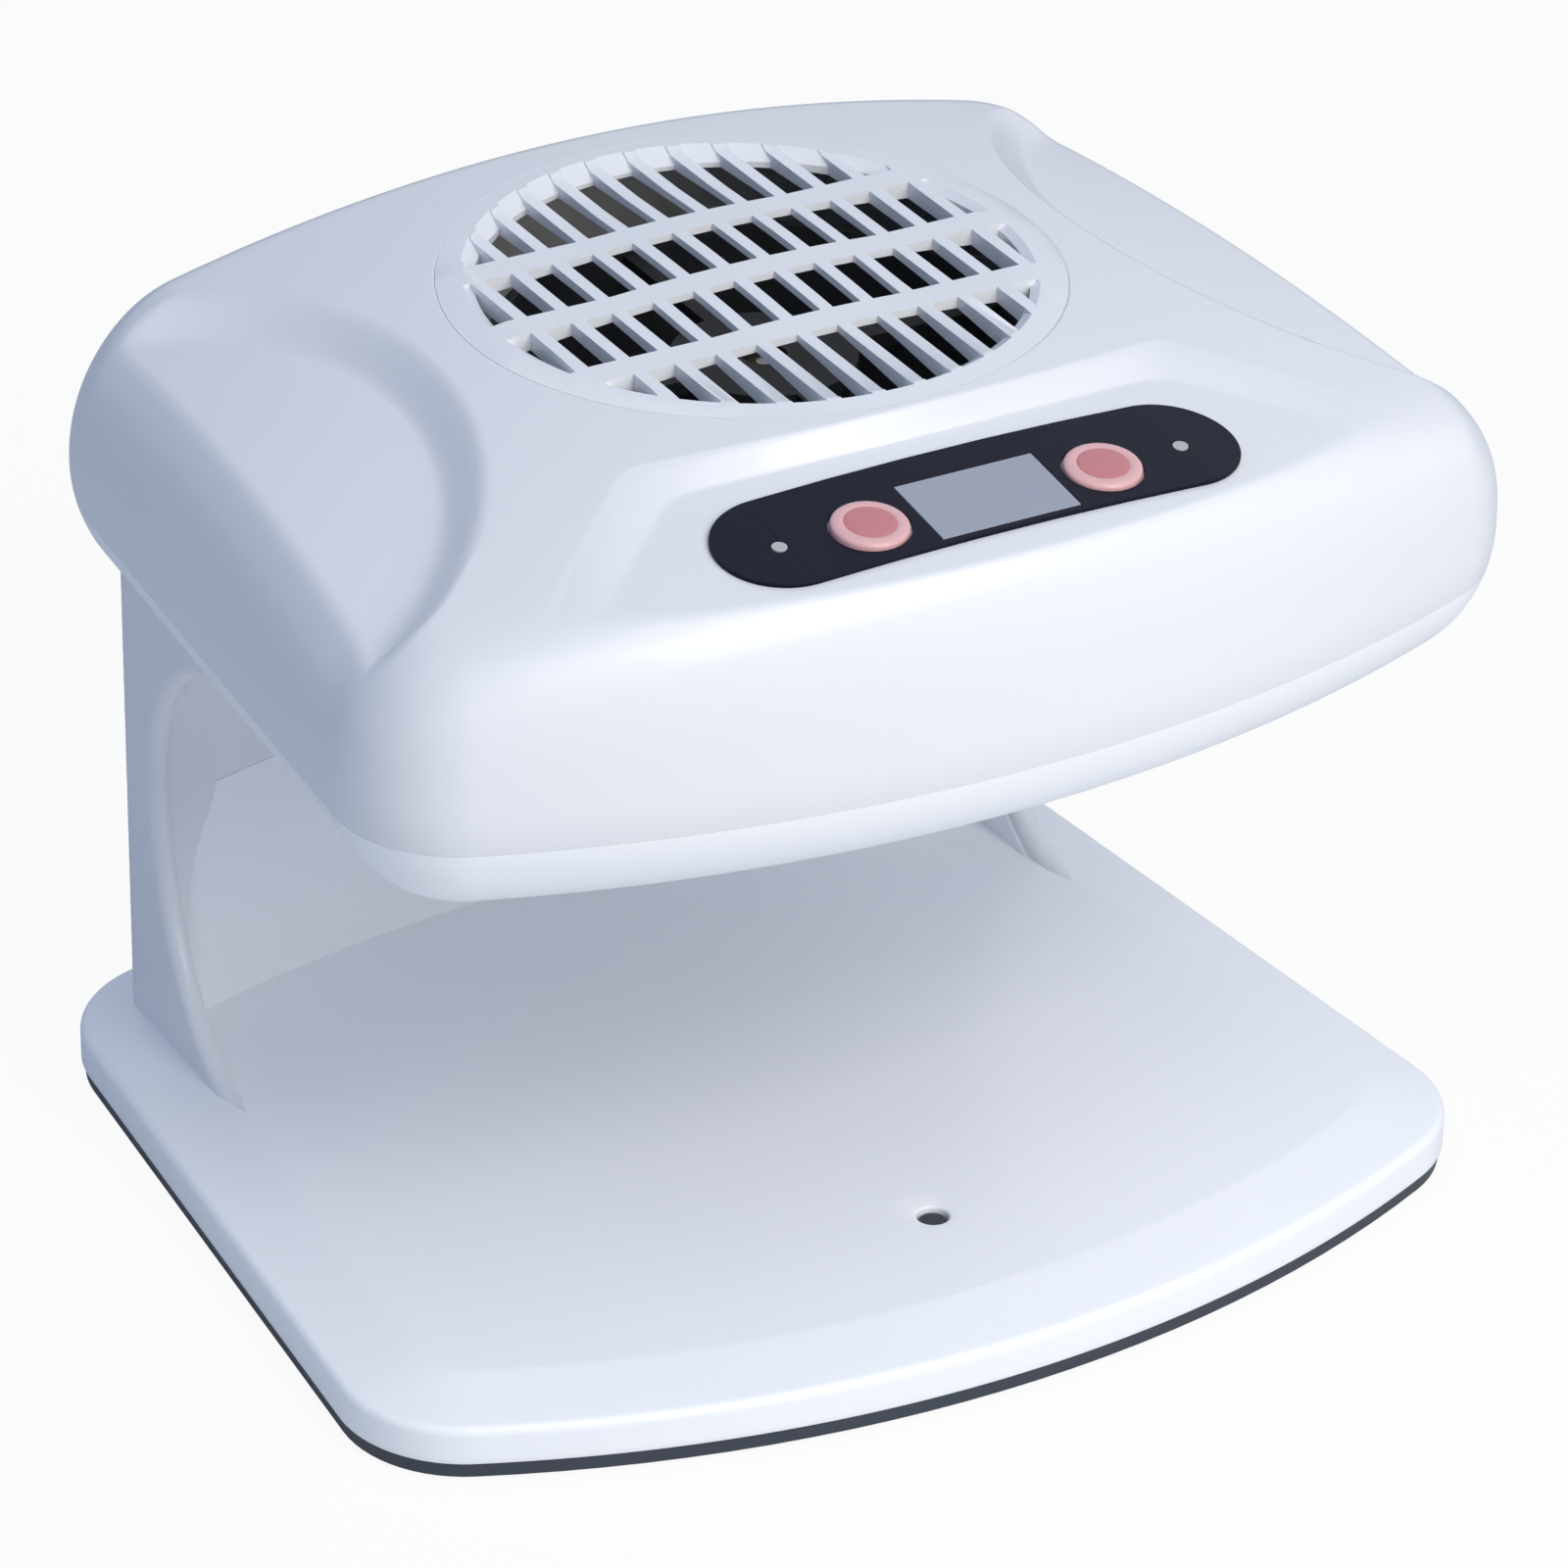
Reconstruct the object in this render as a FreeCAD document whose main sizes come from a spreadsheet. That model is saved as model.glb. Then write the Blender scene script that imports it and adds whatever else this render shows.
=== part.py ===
import FreeCAD, Part
import math
import os

import Sketcher
from FreeCAD import Placement, Rotation, Vector

# Table-top fan dryer for nail polish. X points right, Y to the rear, Z up; the front is -Y.
# The origin is on the table, under the middle of the overall length and width.
# The fan turns about the Z axis: air is drawn in through the round grille in the top of the
# head, warmed below the fan and blown down on the hands, which lie on the base.

DOC = FreeCAD.newDocument("nail_dryer")
SHEET = DOC.addObject("Spreadsheet::Sheet", "Sizes")

SIZES = (
    # Shells
    ("wall", 2.5, "thickness of the moulded shells"),
    ("skin", 2.0, "thickness of the column's inner lining"),
    ("joint_gap", 0.3, "gap round inserts, lids and caps"),
    # Head, at its widest level
    ("head_half_front", 124.2, "half width at the front corners"),
    ("head_half_rear", 111.0, "half width at the rear corners"),
    ("head_front", -104.5, "middle of the front"),
    ("head_front_bow", 26.8, "how far the front bulges past its corners"),
    ("head_rear", 93.6, "middle of the rear"),
    ("head_rear_bow", 4.4, "how far the rear bulges past its corners"),
    ("head_corner_front", 26.0, "plan radius of the front corners"),
    ("head_corner_rear", 26.0, "plan radius of the rear corners"),
    ("head_bottom", 116.5, "level of the underside"),
    ("head_seam", 136.0, "level of the joint between the head's two shells"),
    ("head_widest", 144.5, "level where the head is widest"),
    ("head_top", 192.8, "top of the crown"),
    ("head_crown", 390.0, "radius of the crown across the head"),
    ("head_dome", 600.0, "radius of the crown along the head"),
    ("head_peak", 10.0, "how far behind the fan axis the crown is highest"),
    ("side_lean", 22.0, "how far the sides lean in above the widest level"),
    ("belly_lean", 25.0, "how far the sides tuck in below the widest level"),
    ("edge_full", 4.0, "fullness of the front's upper edge, where 2 is a plain oval"),
    ("edge_start", -50.0, "where the upper edge begins to grow fuller"),
    ("edge_end", -88.0, "where it has its whole fullness"),
    ("edge_half", 95.0, "half width over which the front's edge has its whole fullness"),
    ("edge_fade", 45.0, "width past that over which it fades"),
    ("scoop_middle", 130.0, "distance of the side scoops' middle from the centre line"),
    ("scoop_back", 8.0, "how far behind the fan axis the scoops' middle lies"),
    ("scoop_wide", 62.5, "half width of a scoop's oval"),
    ("scoop_long", 80.0, "length of a scoop in front of its middle"),
    ("scoop_tail", 74.0, "length of a scoop behind its middle"),
    ("scoop_depth", 6.0, "depth of a scoop below the crown"),
    ("scoop_slope", 7.0, "width of a scoop's sloped wall"),
    # Control panel
    ("panel_middle", -79.0, "middle of the panel"),
    ("panel_level", 181.4, "level of the panel's middle"),
    ("panel_tilt", 7.4, "slope of the panel towards the front, in degrees"),
    ("panel_crown", 800.0, "radius of the panel across the head"),
    ("foot_line", -59.5, "middle of the rear edge of the panel's floor"),
    ("foot_bow", 2.3, "how far that edge has moved back at bow_half from the centre line"),
    ("foot_side_x", 66.7, "a point of the floor's slanting side edge, to the right"),
    ("foot_side_y", -70.4, "the same point, from front to rear"),
    ("crest_line", -57.0, "middle of the rear crest of the panel's sloping wall"),
    ("crest_bow", 6.2, "how far the crest has moved back at bow_half from the centre line"),
    ("crest_side_x", 75.3, "a point of the crest's slanting side edge, to the right"),
    ("crest_side_y", -65.7, "the same point, from front to rear"),
    ("bow_half", 50.0, "half width over which the two rear edges are bowed"),
    ("panel_spread", 1.1, "how much floor and crest widen per millimetre towards the front"),
    ("panel_turn", 6.0, "length of each leg of the rounded corners"),
    ("overlay_half_long", 54.2, "half length of the dark overlay"),
    ("overlay_half_wide", 13.6, "half width of the dark overlay"),
    ("overlay_thick", 0.8, "thickness of the overlay"),
    ("button_offset", 24.6, "distance of each button from the centre line"),
    ("button_front", 3.0, "how far the buttons and display lie in front of the middle"),
    ("button_radius", 7.4, "radius of a button cap"),
    ("button_proud", 1.3, "height of a cap over the overlay"),
    ("button_travel", 0.6, "travel of a button"),
    ("display_long", 29.0, "length of the display window"),
    ("display_wide", 18.0, "width of the display window"),
    ("lamp_offset", 42.4, "distance of each indicator from the centre line"),
    ("lamp_front", 1.4, "how far the indicators lie in front of the middle"),
    ("lamp_radius", 1.5, "radius of an indicator lens"),
    ("board_depth", 12.0, "depth of the control board below the panel"),
    ("board_thick", 1.6, "thickness of the circuit boards"),
    ("board_long", 104.0, "length of the control board"),
    ("board_wide", 24.0, "width of the control board"),
    ("post_radius", 2.2, "radius of the posts that carry it"),
    # Intake grille
    ("grille_radius", 60.0, "outer radius of the intake grille"),
    ("grille_back", 5.0, "how far behind the fan axis the grille's middle lies"),
    ("grille_rim", 2.0, "width of its flat rim"),
    ("grille_dish", 3.5, "width of the slope from the rim down to the bars"),
    ("slot_reach", 52.7, "radius of the slots' ends at the underside of the bars"),
    ("grille_sunk", 2.3, "depth of its bars below the crown"),
    ("grille_thick", 1.5, "height of its bars"),
    ("slot_pitch", 8.69, "distance between slots across the head"),
    ("slot_wide", 6.0, "width of a slot"),
    ("rib_pitch", 24.0, "distance between cross ribs"),
    ("rib_wide", 6.4, "width of a cross rib"),
    # Outlet grille
    ("outlet_radius", 52.0, "radius of the outlet grille's face"),
    ("outlet_flange", 57.0, "radius of its flange inside the head"),
    ("outlet_ring", 1.8, "width of its rings and spokes"),
    ("outlet_pitch", 8.0, "distance between its rings"),
    # Fan
    ("duct_radius", 52.5, "outer radius of the air duct"),
    ("duct_wall", 2.2, "thickness of the air duct"),
    ("duct_top", 177.5, "top of the air duct"),
    ("tip_gap", 2.3, "gap between the fan blades and the duct"),
    ("hub_radius", 18.0, "radius of the impeller's hub"),
    ("hub_height", 11.0, "height of the impeller's hub"),
    ("blade_pitch", 34.0, "pitch of the blades, in degrees"),
    ("blade_chord", 17.0, "chord of a blade"),
    ("blade_thick", 1.8, "thickness of a blade"),
    ("blade_count", 7, "number of blades"),
    ("motor_radius", 17.0, "radius of the motor"),
    ("motor_height", 23.0, "height of the motor"),
    ("motor_top", 171.5, "top of the motor, under its bracket"),
    ("bracket_thick", 3.0, "thickness of the motor bracket"),
    ("shaft_radius", 1.5, "radius of the fan shaft"),
    ("shaft_gap", 0.03, "running clearance of the shaft in its bearings"),
    ("bearing_radius", 4.0, "outer radius of the bearings"),
    ("bearing_height", 4.0, "height of a bearing"),
    # Heater
    ("mica_height", 12.0, "height of the heater's mica plates"),
    ("mica_thick", 1.0, "thickness of the mica plates"),
    ("coil_radius", 1.6, "radius of the wound heating coil"),
    ("coil_pitch", 9.0, "distance between turns of the coil"),
    # Column
    ("column_half", 100.1, "half width of the column at its front edge"),
    ("column_half_rear", 96.6, "half width of the column at the rear"),
    ("column_front", 22.0, "where the cheeks meet the head"),
    ("column_rear", 93.6, "middle of the column's rear"),
    ("column_bow", 3.0, "how far the rear bulges past its corners"),
    ("column_corner", 10.0, "plan radius of the column's rear corners"),
    ("cheek", 4.8, "thickness of a cheek"),
    ("throat_rear", 86.0, "middle of the inner wall"),
    ("throat_bow", 14.5, "how far the inner wall is hollowed"),
    ("throat_corner", 10.0, "plan radius of the inner wall's corners"),
    ("throat_reach", 71.5, "rearmost point of the cheeks' front edge"),
    ("throat_level", 71.7, "level of that point"),
    ("throat_radius", 37.5, "radius of the edge above that point, and its reach below it"),
    ("edge_rim", 3.0, "width of the rim along the cheeks' front edge"),
    ("lining_seam", 66.0, "level of the joint in the inner wall"),
    # Base
    ("base_half_front", 122.7, "half width at the front corners"),
    ("base_half_rear", 108.5, "half width at the rear corners"),
    ("base_front", -104.8, "middle of the front"),
    ("base_front_bow", 30.6, "how far the front bulges past its corners"),
    ("base_rear", 103.2, "middle of the rear"),
    ("base_rear_bow", 4.0, "how far the rear bulges past its corners"),
    ("base_corner_front", 26.0, "plan radius of the front corners"),
    ("base_corner_rear", 27.0, "plan radius of the rear corners"),
    ("base_top", 14.8, "level of the base's top"),
    ("base_shoulder", 12.0, "level at which the sloping band would meet the upright side"),
    ("bevel_wide", 16.0, "width of the sloping band round the base's top"),
    ("bevel_round", 2.0, "radius between that band and the upright side"),
    ("plate_inset", 0.8, "how far the bottom plate stands in from the base's edge"),
    ("plate_bottom", 1.0, "level of the bottom plate's underside"),
    ("plate_top", 4.2, "level of the bottom plate's top"),
    ("foot_radius", 8.0, "radius of a rubber foot"),
    ("foot_seat", 0.8, "depth of a foot's seat in the bottom plate"),
    ("foot_side", 88.0, "distance of the feet from the centre line"),
    ("foot_front", -62.0, "place of the front feet"),
    ("foot_rear", 78.0, "place of the rear feet"),
    ("eye_side", 4.6, "distance of the sensor's hole from the centre line"),
    ("eye_front", -62.6, "place of the sensor's hole in the base"),
    ("eye_radius", 3.2, "radius of the sensor's hole"),
    ("eye_lens", 2.5, "radius of the sensor's lens"),
    # Fasteners and electrical parts
    ("screw_radius", 1.4, "radius of the screws"),
    ("screw_head", 2.8, "radius of a screw head"),
    ("screw_head_high", 1.8, "height of a screw head"),
    ("boss_radius", 4.0, "radius of the screw bosses"),
    ("strut_wide", 16.0, "width of the steel struts in the column"),
    ("strut_thick", 4.0, "thickness of the steel struts"),
    ("strut_inset", 31.0, "distance of the struts' middle from the column's rear edges"),
    ("strut_top", 128.0, "top of the steel struts"),
    ("power_side", 64.0, "distance of the power board's outer face from the centre line"),
    ("power_front", -34.0, "front end of the power board"),
    ("power_long", 80.0, "length of the power board"),
    ("power_high", 44.0, "height of the power board"),
    ("gland_side", -34.0, "place of the cord gland along the column's rear"),
    ("gland_level", 32.0, "level of the cord gland"),
    ("gland_bore", 3.4, "radius of the cord gland's bore"),
    ("lead_radius", 1.2, "radius of the sensor's lead"),
)

for row, (alias, value, note) in enumerate(SIZES, start=1):
    SHEET.set(f"A{row}", alias)
    SHEET.set(f"B{row}", str(value))
    SHEET.set(f"C{row}", note)
    SHEET.setAlias(f"B{row}", alias)
DOC.recompute()

NODES = []
UP = Vector(0, 0, 1)
REARWARD = Vector(0, 1, 0)
RIGHT = Vector(1, 0, 0)
SIDES = (("left", -1), ("right", 1))


def size(alias):
    """Value of one cell of the sheet."""
    return float(getattr(SHEET, alias))


def node(item, label):
    """Name a finished sub-part and list it for export."""
    item.Label = label
    NODES.append(item)
    return item


def feature(label, shape, place=None):
    """Sub-part whose shape is worked out here from the sheet."""
    item = DOC.addObject("Part::Feature", label)
    item.Shape = shape
    if place is not None:
        item.Placement = place
    return node(item, label)


def bind(item, expressions):
    """Tie an object's properties to the sheet."""
    for name, text in expressions.items():
        item.setExpression(name, text)


# ---------------------------------------------------------------- bodies and primitives


def new_body(label, at=None):
    """Body with its own origin, placed by expressions for x, y and z."""
    body = DOC.addObject("PartDesign::Body", label)
    for axis, text in zip("xyz", at or ()):
        body.setExpression(f"Placement.Base.{axis}", text)
    return node(body, label)


def new_sketch(body, name, role="XY_Plane", lift=None):
    """Sketch on one of the body's own planes, raised along its normal by an expression."""
    plane = next(f for f in body.Origin.OriginFeatures if f.Role == role)
    sketch = body.newObject("Sketcher::SketchObject", name)
    sketch.AttachmentSupport = [(plane, "")]
    sketch.MapMode = "FlatFace"
    if lift:
        sketch.setExpression("AttachmentOffset.Base.z", lift)
    return sketch


def add_circle(sketch, radius):
    """Circle round the sketch's origin."""
    index = sketch.addGeometry(Part.Circle(Vector(0, 0, 0), UP, 1.0))
    sketch.addConstraint(Sketcher.Constraint("Coincident", index, 3, -1, 1))
    rule = sketch.addConstraint(Sketcher.Constraint("Radius", index, 1.0))
    sketch.setExpression(f"Constraints[{rule}]", radius)


def add_rectangle(sketch, wide, high):
    """Rectangle with its middle on the sketch's origin."""
    corners = (Vector(-1, -1, 0), Vector(1, -1, 0), Vector(1, 1, 0), Vector(-1, 1, 0))
    first = sketch.GeometryCount
    for i, corner in enumerate(corners):
        sketch.addGeometry(Part.LineSegment(corner, corners[(i + 1) % 4]))
    for i in range(4):
        sketch.addConstraint(Sketcher.Constraint("Coincident", first + i, 2, first + (i + 1) % 4, 1))
    for i, kind in enumerate(("Horizontal", "Vertical", "Horizontal", "Vertical")):
        sketch.addConstraint(Sketcher.Constraint(kind, first + i))
    sketch.addConstraint(Sketcher.Constraint("Symmetric", first, 1, first + 1, 2, -1, 1))
    across = sketch.addConstraint(Sketcher.Constraint("DistanceX", first, 1, first, 2, 2.0))
    along = sketch.addConstraint(Sketcher.Constraint("DistanceY", first + 1, 1, first + 1, 2, 2.0))
    sketch.setExpression(f"Constraints[{across}]", wide)
    sketch.setExpression(f"Constraints[{along}]", high)


def pad(body, sketch, length, name="Pad", midplane=False):
    """Pad of a sketch to a bound length."""
    item = body.newObject("PartDesign::Pad", name)
    item.Profile = sketch
    item.Midplane = midplane
    item.setExpression("Length", length)
    sketch.Visibility = False
    return item


def pocket(body, sketch, length, name="Pocket", reversed_way=False):
    """Pocket of a sketch to a bound depth; it must take material away."""
    DOC.recompute()
    before = body.Shape.Volume
    item = body.newObject("PartDesign::Pocket", name)
    item.Profile = sketch
    item.Reversed = reversed_way
    item.setExpression("Length", length)
    DOC.recompute()
    if body.Shape.Volume >= before:
        raise RuntimeError(f"{body.Label}: {name} removes nothing")
    return item


def polar(body, original, count, name="Polar"):
    """Copies of a feature round the body's Z axis."""
    DOC.recompute()
    item = body.newObject("PartDesign::PolarPattern", name)
    item.Originals = [original]
    item.Axis = (next(f for f in body.Origin.OriginFeatures if f.Role == "Z_Axis"), [""])
    item.Angle = 360.0
    item.setExpression("Occurrences", count)
    body.Tip = item
    DOC.recompute()
    return item


def primitive(kind, name, expressions):
    """Part primitive with its sizes and place bound to the sheet."""
    item = DOC.addObject(f"Part::{kind}", name)
    bind(item, expressions)
    return item


def tube(name, outer, inner, height, level):
    """Ring round the Z axis, as one cylinder cut from another."""
    rim = primitive("Cylinder", f"{name}_rim", {
        "Radius": outer, "Height": height, "Placement.Base.z": level})
    hole = primitive("Cylinder", f"{name}_hole", {
        "Radius": inner, "Height": f"{height} + 2", "Placement.Base.z": f"{level} - 1"})
    ring = DOC.addObject("Part::Cut", name)
    ring.Base = rim
    ring.Tool = hole
    return ring


# ---------------------------------------------------------------- outlines and lofts


class Outline:
    """Rounded trapezoid with a bowed front and rear, from which exact insets are drawn."""

    def __init__(self, prefix):
        self.half_front = size(f"{prefix}_half_front")
        self.half_rear = size(f"{prefix}_half_rear")
        self.front = size(f"{prefix}_front")
        self.front_bow = size(f"{prefix}_front_bow")
        self.rear = size(f"{prefix}_rear")
        self.rear_bow = size(f"{prefix}_rear_bow")
        self.corner_front = size(f"{prefix}_corner_front")
        self.corner_rear = size(f"{prefix}_corner_rear")
        self.settle()

    def settle(self):
        """Centres of the arcs; they are the same for every inset."""
        chord_front = self.front + self.front_bow
        chord_rear = self.rear - self.rear_bow
        self.radius_front = (self.half_front ** 2 + self.front_bow ** 2) / (2 * self.front_bow)
        self.radius_rear = (self.half_rear ** 2 + self.rear_bow ** 2) / (2 * self.rear_bow)
        self.centre_front = Vector(0, self.front + self.radius_front, 0)
        self.centre_rear = Vector(0, self.rear - self.radius_rear, 0)
        start = Vector(self.half_front, chord_front, 0)
        end = Vector(self.half_rear, chord_rear, 0)
        self.along = (end - start).normalize()
        self.out = Vector(self.along.y, -self.along.x, 0)
        self.hub_front = self.meet(start, self.corner_front, self.centre_front, self.radius_front, -1)
        self.hub_rear = self.meet(start, self.corner_rear, self.centre_rear, self.radius_rear, 1)

    def meet(self, start, corner, centre, radius, way):
        """Centre of a corner's arc: as far from the side as from the bowed end."""
        foot = start - self.out * corner
        to_foot = foot - centre
        half_b = to_foot.dot(self.along)
        rest = to_foot.dot(to_foot) - (radius - corner) ** 2
        reach = -half_b + way * math.sqrt(half_b ** 2 - rest)
        return foot + self.along * reach

    def wire(self, inset, level):
        """Closed wire at a level, moved in by inset all round."""
        lift = Vector(0, 0, level)

        def at(point, flip=False):
            return Vector(-point.x if flip else point.x, point.y, 0) + lift

        way_front = (self.hub_front - self.centre_front).normalize()
        way_rear = (self.hub_rear - self.centre_rear).normalize()
        nose = self.centre_front + way_front * (self.radius_front - inset)
        tail = self.centre_rear + way_rear * (self.radius_rear - inset)
        side_front = self.hub_front + self.out * (self.corner_front - inset)
        side_rear = self.hub_rear + self.out * (self.corner_rear - inset)
        bend_front = self.hub_front + (way_front + self.out).normalize() * (self.corner_front - inset)
        bend_rear = self.hub_rear + (way_rear + self.out).normalize() * (self.corner_rear - inset)
        front = Vector(0, self.front + inset, 0)
        rear = Vector(0, self.rear - inset, 0)
        edges = (
            Part.Arc(at(nose, True), at(front), at(nose)),
            Part.Arc(at(nose), at(bend_front), at(side_front)),
            Part.LineSegment(at(side_front), at(side_rear)),
            Part.Arc(at(side_rear), at(bend_rear), at(tail)),
            Part.Arc(at(tail), at(rear), at(tail, True)),
            Part.Arc(at(tail, True), at(bend_rear, True), at(side_rear, True)),
            Part.LineSegment(at(side_rear, True), at(side_front, True)),
            Part.Arc(at(side_front, True), at(bend_front, True), at(nose, True)),
        )
        return Part.Wire([edge.toShape() for edge in edges])

    def rim(self, inset, height_at):
        """Closed wire moved in by inset all round, whose height follows a function of x and y."""
        edges = []
        for edge in self.wire(inset, 0.0).Edges:
            points = [Vector(p.x, p.y, height_at(p.x, p.y)) for p in edge.discretize(Number=7)]
            curve = Part.BSplineCurve()
            curve.interpolate(points)
            edges.append(curve.toShape())
        return Part.Wire(edges)

    def prism(self, inset, bottom, top):
        """Straight solid between two levels."""
        return Part.Face(self.wire(inset, bottom)).extrude(UP * (top - bottom))


def steps(low, high, count):
    """Evenly spaced levels, both ends included."""
    return [low + (high - low) * i / (count - 1) for i in range(count)]


def cylinder(radius, low, high, x=0.0, y=0.0):
    """Upright cylinder between two levels."""
    return Part.makeCylinder(radius, high - low, Vector(x, y, low), UP)


def block(x_range, y_range, z_range):
    """Box between two corners."""
    low = Vector(x_range[0], y_range[0], z_range[0])
    spans = [pair[1] - pair[0] for pair in (x_range, y_range, z_range)]
    return Part.makeBox(spans[0], spans[1], spans[2], low)


def merge(shapes):
    """One solid out of shapes that touch or overlap."""
    return shapes[0].multiFuse(list(shapes[1:])).removeSplitter()


FAR = 400.0   # longer than the whole object, for cutting tools

# ---------------------------------------------------------------- head


def crown_level(x, y):
    """Level of the domed crown above a point of the plan."""
    across = x ** 2 / (2 * size("head_crown"))
    along = (y - size("head_peak")) ** 2 / (2 * size("head_dome"))
    return size("head_top") - across - along


def crown(depth):
    """Solid below the crown of the head, lowered by depth: one patch of second degree."""
    reach = FAR / 2
    middle = size("head_peak")
    bend_x = reach ** 2 / size("head_crown")
    bend_y = reach ** 2 / size("head_dome")
    patch = Part.BezierSurface()
    patch.increase(2, 2)
    for i in range(3):
        for j in range(3):
            # The middle poles lift the curve so that its ends drop as a parabola does.
            drop_x = bend_x / 2 if i != 1 else -bend_x / 2
            drop_y = bend_y / 2 if j != 1 else -bend_y / 2
            pole = Vector((i - 1) * reach, middle + (j - 1) * reach,
                          size("head_top") - depth - drop_x - drop_y)
            patch.setPole(i + 1, j + 1, pole)
    return patch.toBSpline().toShape().extrude(Vector(0, 0, -FAR))


def ease(part):
    """Smooth step from 0 to 1."""
    held = min(max(part, 0.0), 1.0)
    return held * held * (3.0 - 2.0 * held)


def fullness(x, y):
    """Exponent of the upper flank's section above a point of the plan."""
    forward = ease((size("edge_start") - y) / (size("edge_start") - size("edge_end")))
    inside = 1.0 - ease((abs(x) - size("edge_half")) / size("edge_fade"))
    return 2.0 + (size("edge_full") - 2.0) * forward * inside


def flank_inset(lean, turn, inner):
    """Inset of a flank at an angle over its widest level, moved in by inner."""
    return inner + (lean - inner) * (1.0 - math.cos(turn))


def flank_height(rise, turn, inner, power=2.0):
    """Height of a flank over its widest level, on an oval or a fuller curve."""
    return (rise - inner) * (1.0 - math.cos(turn) ** power) ** (1.0 / power)


def head_form(inner):
    """Head without scoops and panel, moved in by inner on every side."""
    outline = Outline("head")
    middle = size("head_widest")
    drop = middle - size("head_bottom")
    wires = []
    for turn in reversed(steps(math.radians(15), math.radians(90), 6)):
        low = middle - flank_height(drop, turn, inner)
        wires.append(outline.wire(flank_inset(size("belly_lean"), turn, inner), low))
    for turn in steps(0.0, math.radians(90), 9):

        def level(x, y, turn=turn):
            """Level of the flank at an angle, which ends a little above the crown."""
            rise = crown_level(x, y) + 0.3 - middle
            return middle + flank_height(rise, turn, inner, fullness(x, y))

        inset = flank_inset(size("side_lean"), turn, inner)
        wires.append(outline.rim(inset, level))
    lid = size("head_top") + 10.0
    wires.append(outline.wire(inset, lid))
    return Part.makeLoft(wires, True, True).common(crown(inner))


def scoop_ring(side, grow, level_at):
    """Oval of a side scoop, widened by grow, at a height that follows a function of x and y."""
    points = []
    count = 24
    for i in range(count):
        turn = 2 * math.pi * i / count
        tail = size("scoop_tail") if math.sin(turn) > 0 else size("scoop_long")
        x = side * (size("scoop_middle") + (size("scoop_wide") + grow) * math.cos(turn))
        y = size("scoop_back") + (tail + grow) * math.sin(turn)
        points.append(Vector(x, y, level_at(x, y)))
    curve = Part.BSplineCurve()
    curve.interpolate(points, PeriodicFlag=True)
    return Part.Wire([curve.toShape()])


def scoop(side, inner):
    """Cutting tool of one side scoop, moved in by inner for the wall's inner face."""
    depth = size("scoop_depth")
    slope = size("scoop_slope") / depth
    wires = [scoop_ring(side, inner - 2 * size("scoop_slope"), lambda x, y: 0.0)]
    for fall in (2 * depth, -2 * depth):
        wires.append(scoop_ring(side, inner - slope * fall, lambda x, y: crown_level(x, y) - fall))
    wires.append(scoop_ring(side, inner + 2 * size("scoop_slope"), lambda x, y: size("head_top") + 20.0))
    return Part.makeLoft(wires, True, True).cut(crown(depth + inner))


def panel_place():
    """Frame of the control panel: its Z axis is the panel's normal."""
    return Placement(Vector(0, size("panel_middle"), size("panel_level")),
                     Rotation(RIGHT, size("panel_tilt")))


def panel_floor(lift):
    """Long solid below the panel's crowned surface, in the panel's frame."""
    radius = size("panel_crown")
    return Part.makeCylinder(radius + lift, 2 * FAR, Vector(0, -FAR, -radius), REARWARD)


def panel_sag(across):
    """How far the panel's surface lies below its middle at a distance from the centre line."""
    radius = size("panel_crown")
    return radius - math.sqrt(radius ** 2 - across ** 2)


def floor_level(x, y):
    """Level of the panel's crowned surface above a point of the plan."""
    slope = math.tan(math.radians(size("panel_tilt")))
    lift = (y - size("panel_middle")) * slope
    return size("panel_level") + lift - x ** 2 / (2 * size("panel_crown"))


def panel_edge(name, grow):
    """Corners and rear curve of the panel's floor or crest in plan, as six runs of points."""
    middle = size(f"{name}_line") + grow
    bow = size(f"{name}_bow")
    spread = size("panel_spread")
    slant = math.hypot(1.0, spread)
    side_x = size(f"{name}_side_x") + grow * slant
    side_y = size(f"{name}_side_y")

    def rear(x):
        return Vector(x, middle + bow * (x / size("bow_half")) ** 2, 0)

    def side(y):
        return Vector(side_x + spread * (side_y - y), y, 0)

    low, high = 20.0, 90.0
    for _ in range(60):
        half = (low + high) / 2
        inside = side(rear(half).y).x > half
        low, high = (half, high) if inside else (low, half)
    corner = rear(low)
    leg = size("panel_turn")
    before = rear(low - leg)
    after = side(corner.y - leg / slant)
    bend = before * 0.25 + corner * 0.5 + after * 0.25
    front = side(-FAR / 2)

    def flip(point):
        return Vector(-point.x, point.y, 0)

    line = (front, (front + after) * 0.5, after)
    turn = (after, bend, before)
    back = [rear(before.x * part) for part in (1.0, 0.5, 0.0, -0.5, -1.0)]
    return (line, turn, back, [flip(p) for p in reversed(turn)], [flip(p) for p in reversed(line)],
            (flip(front), (front + flip(front)) * 0.5, front))


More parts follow.
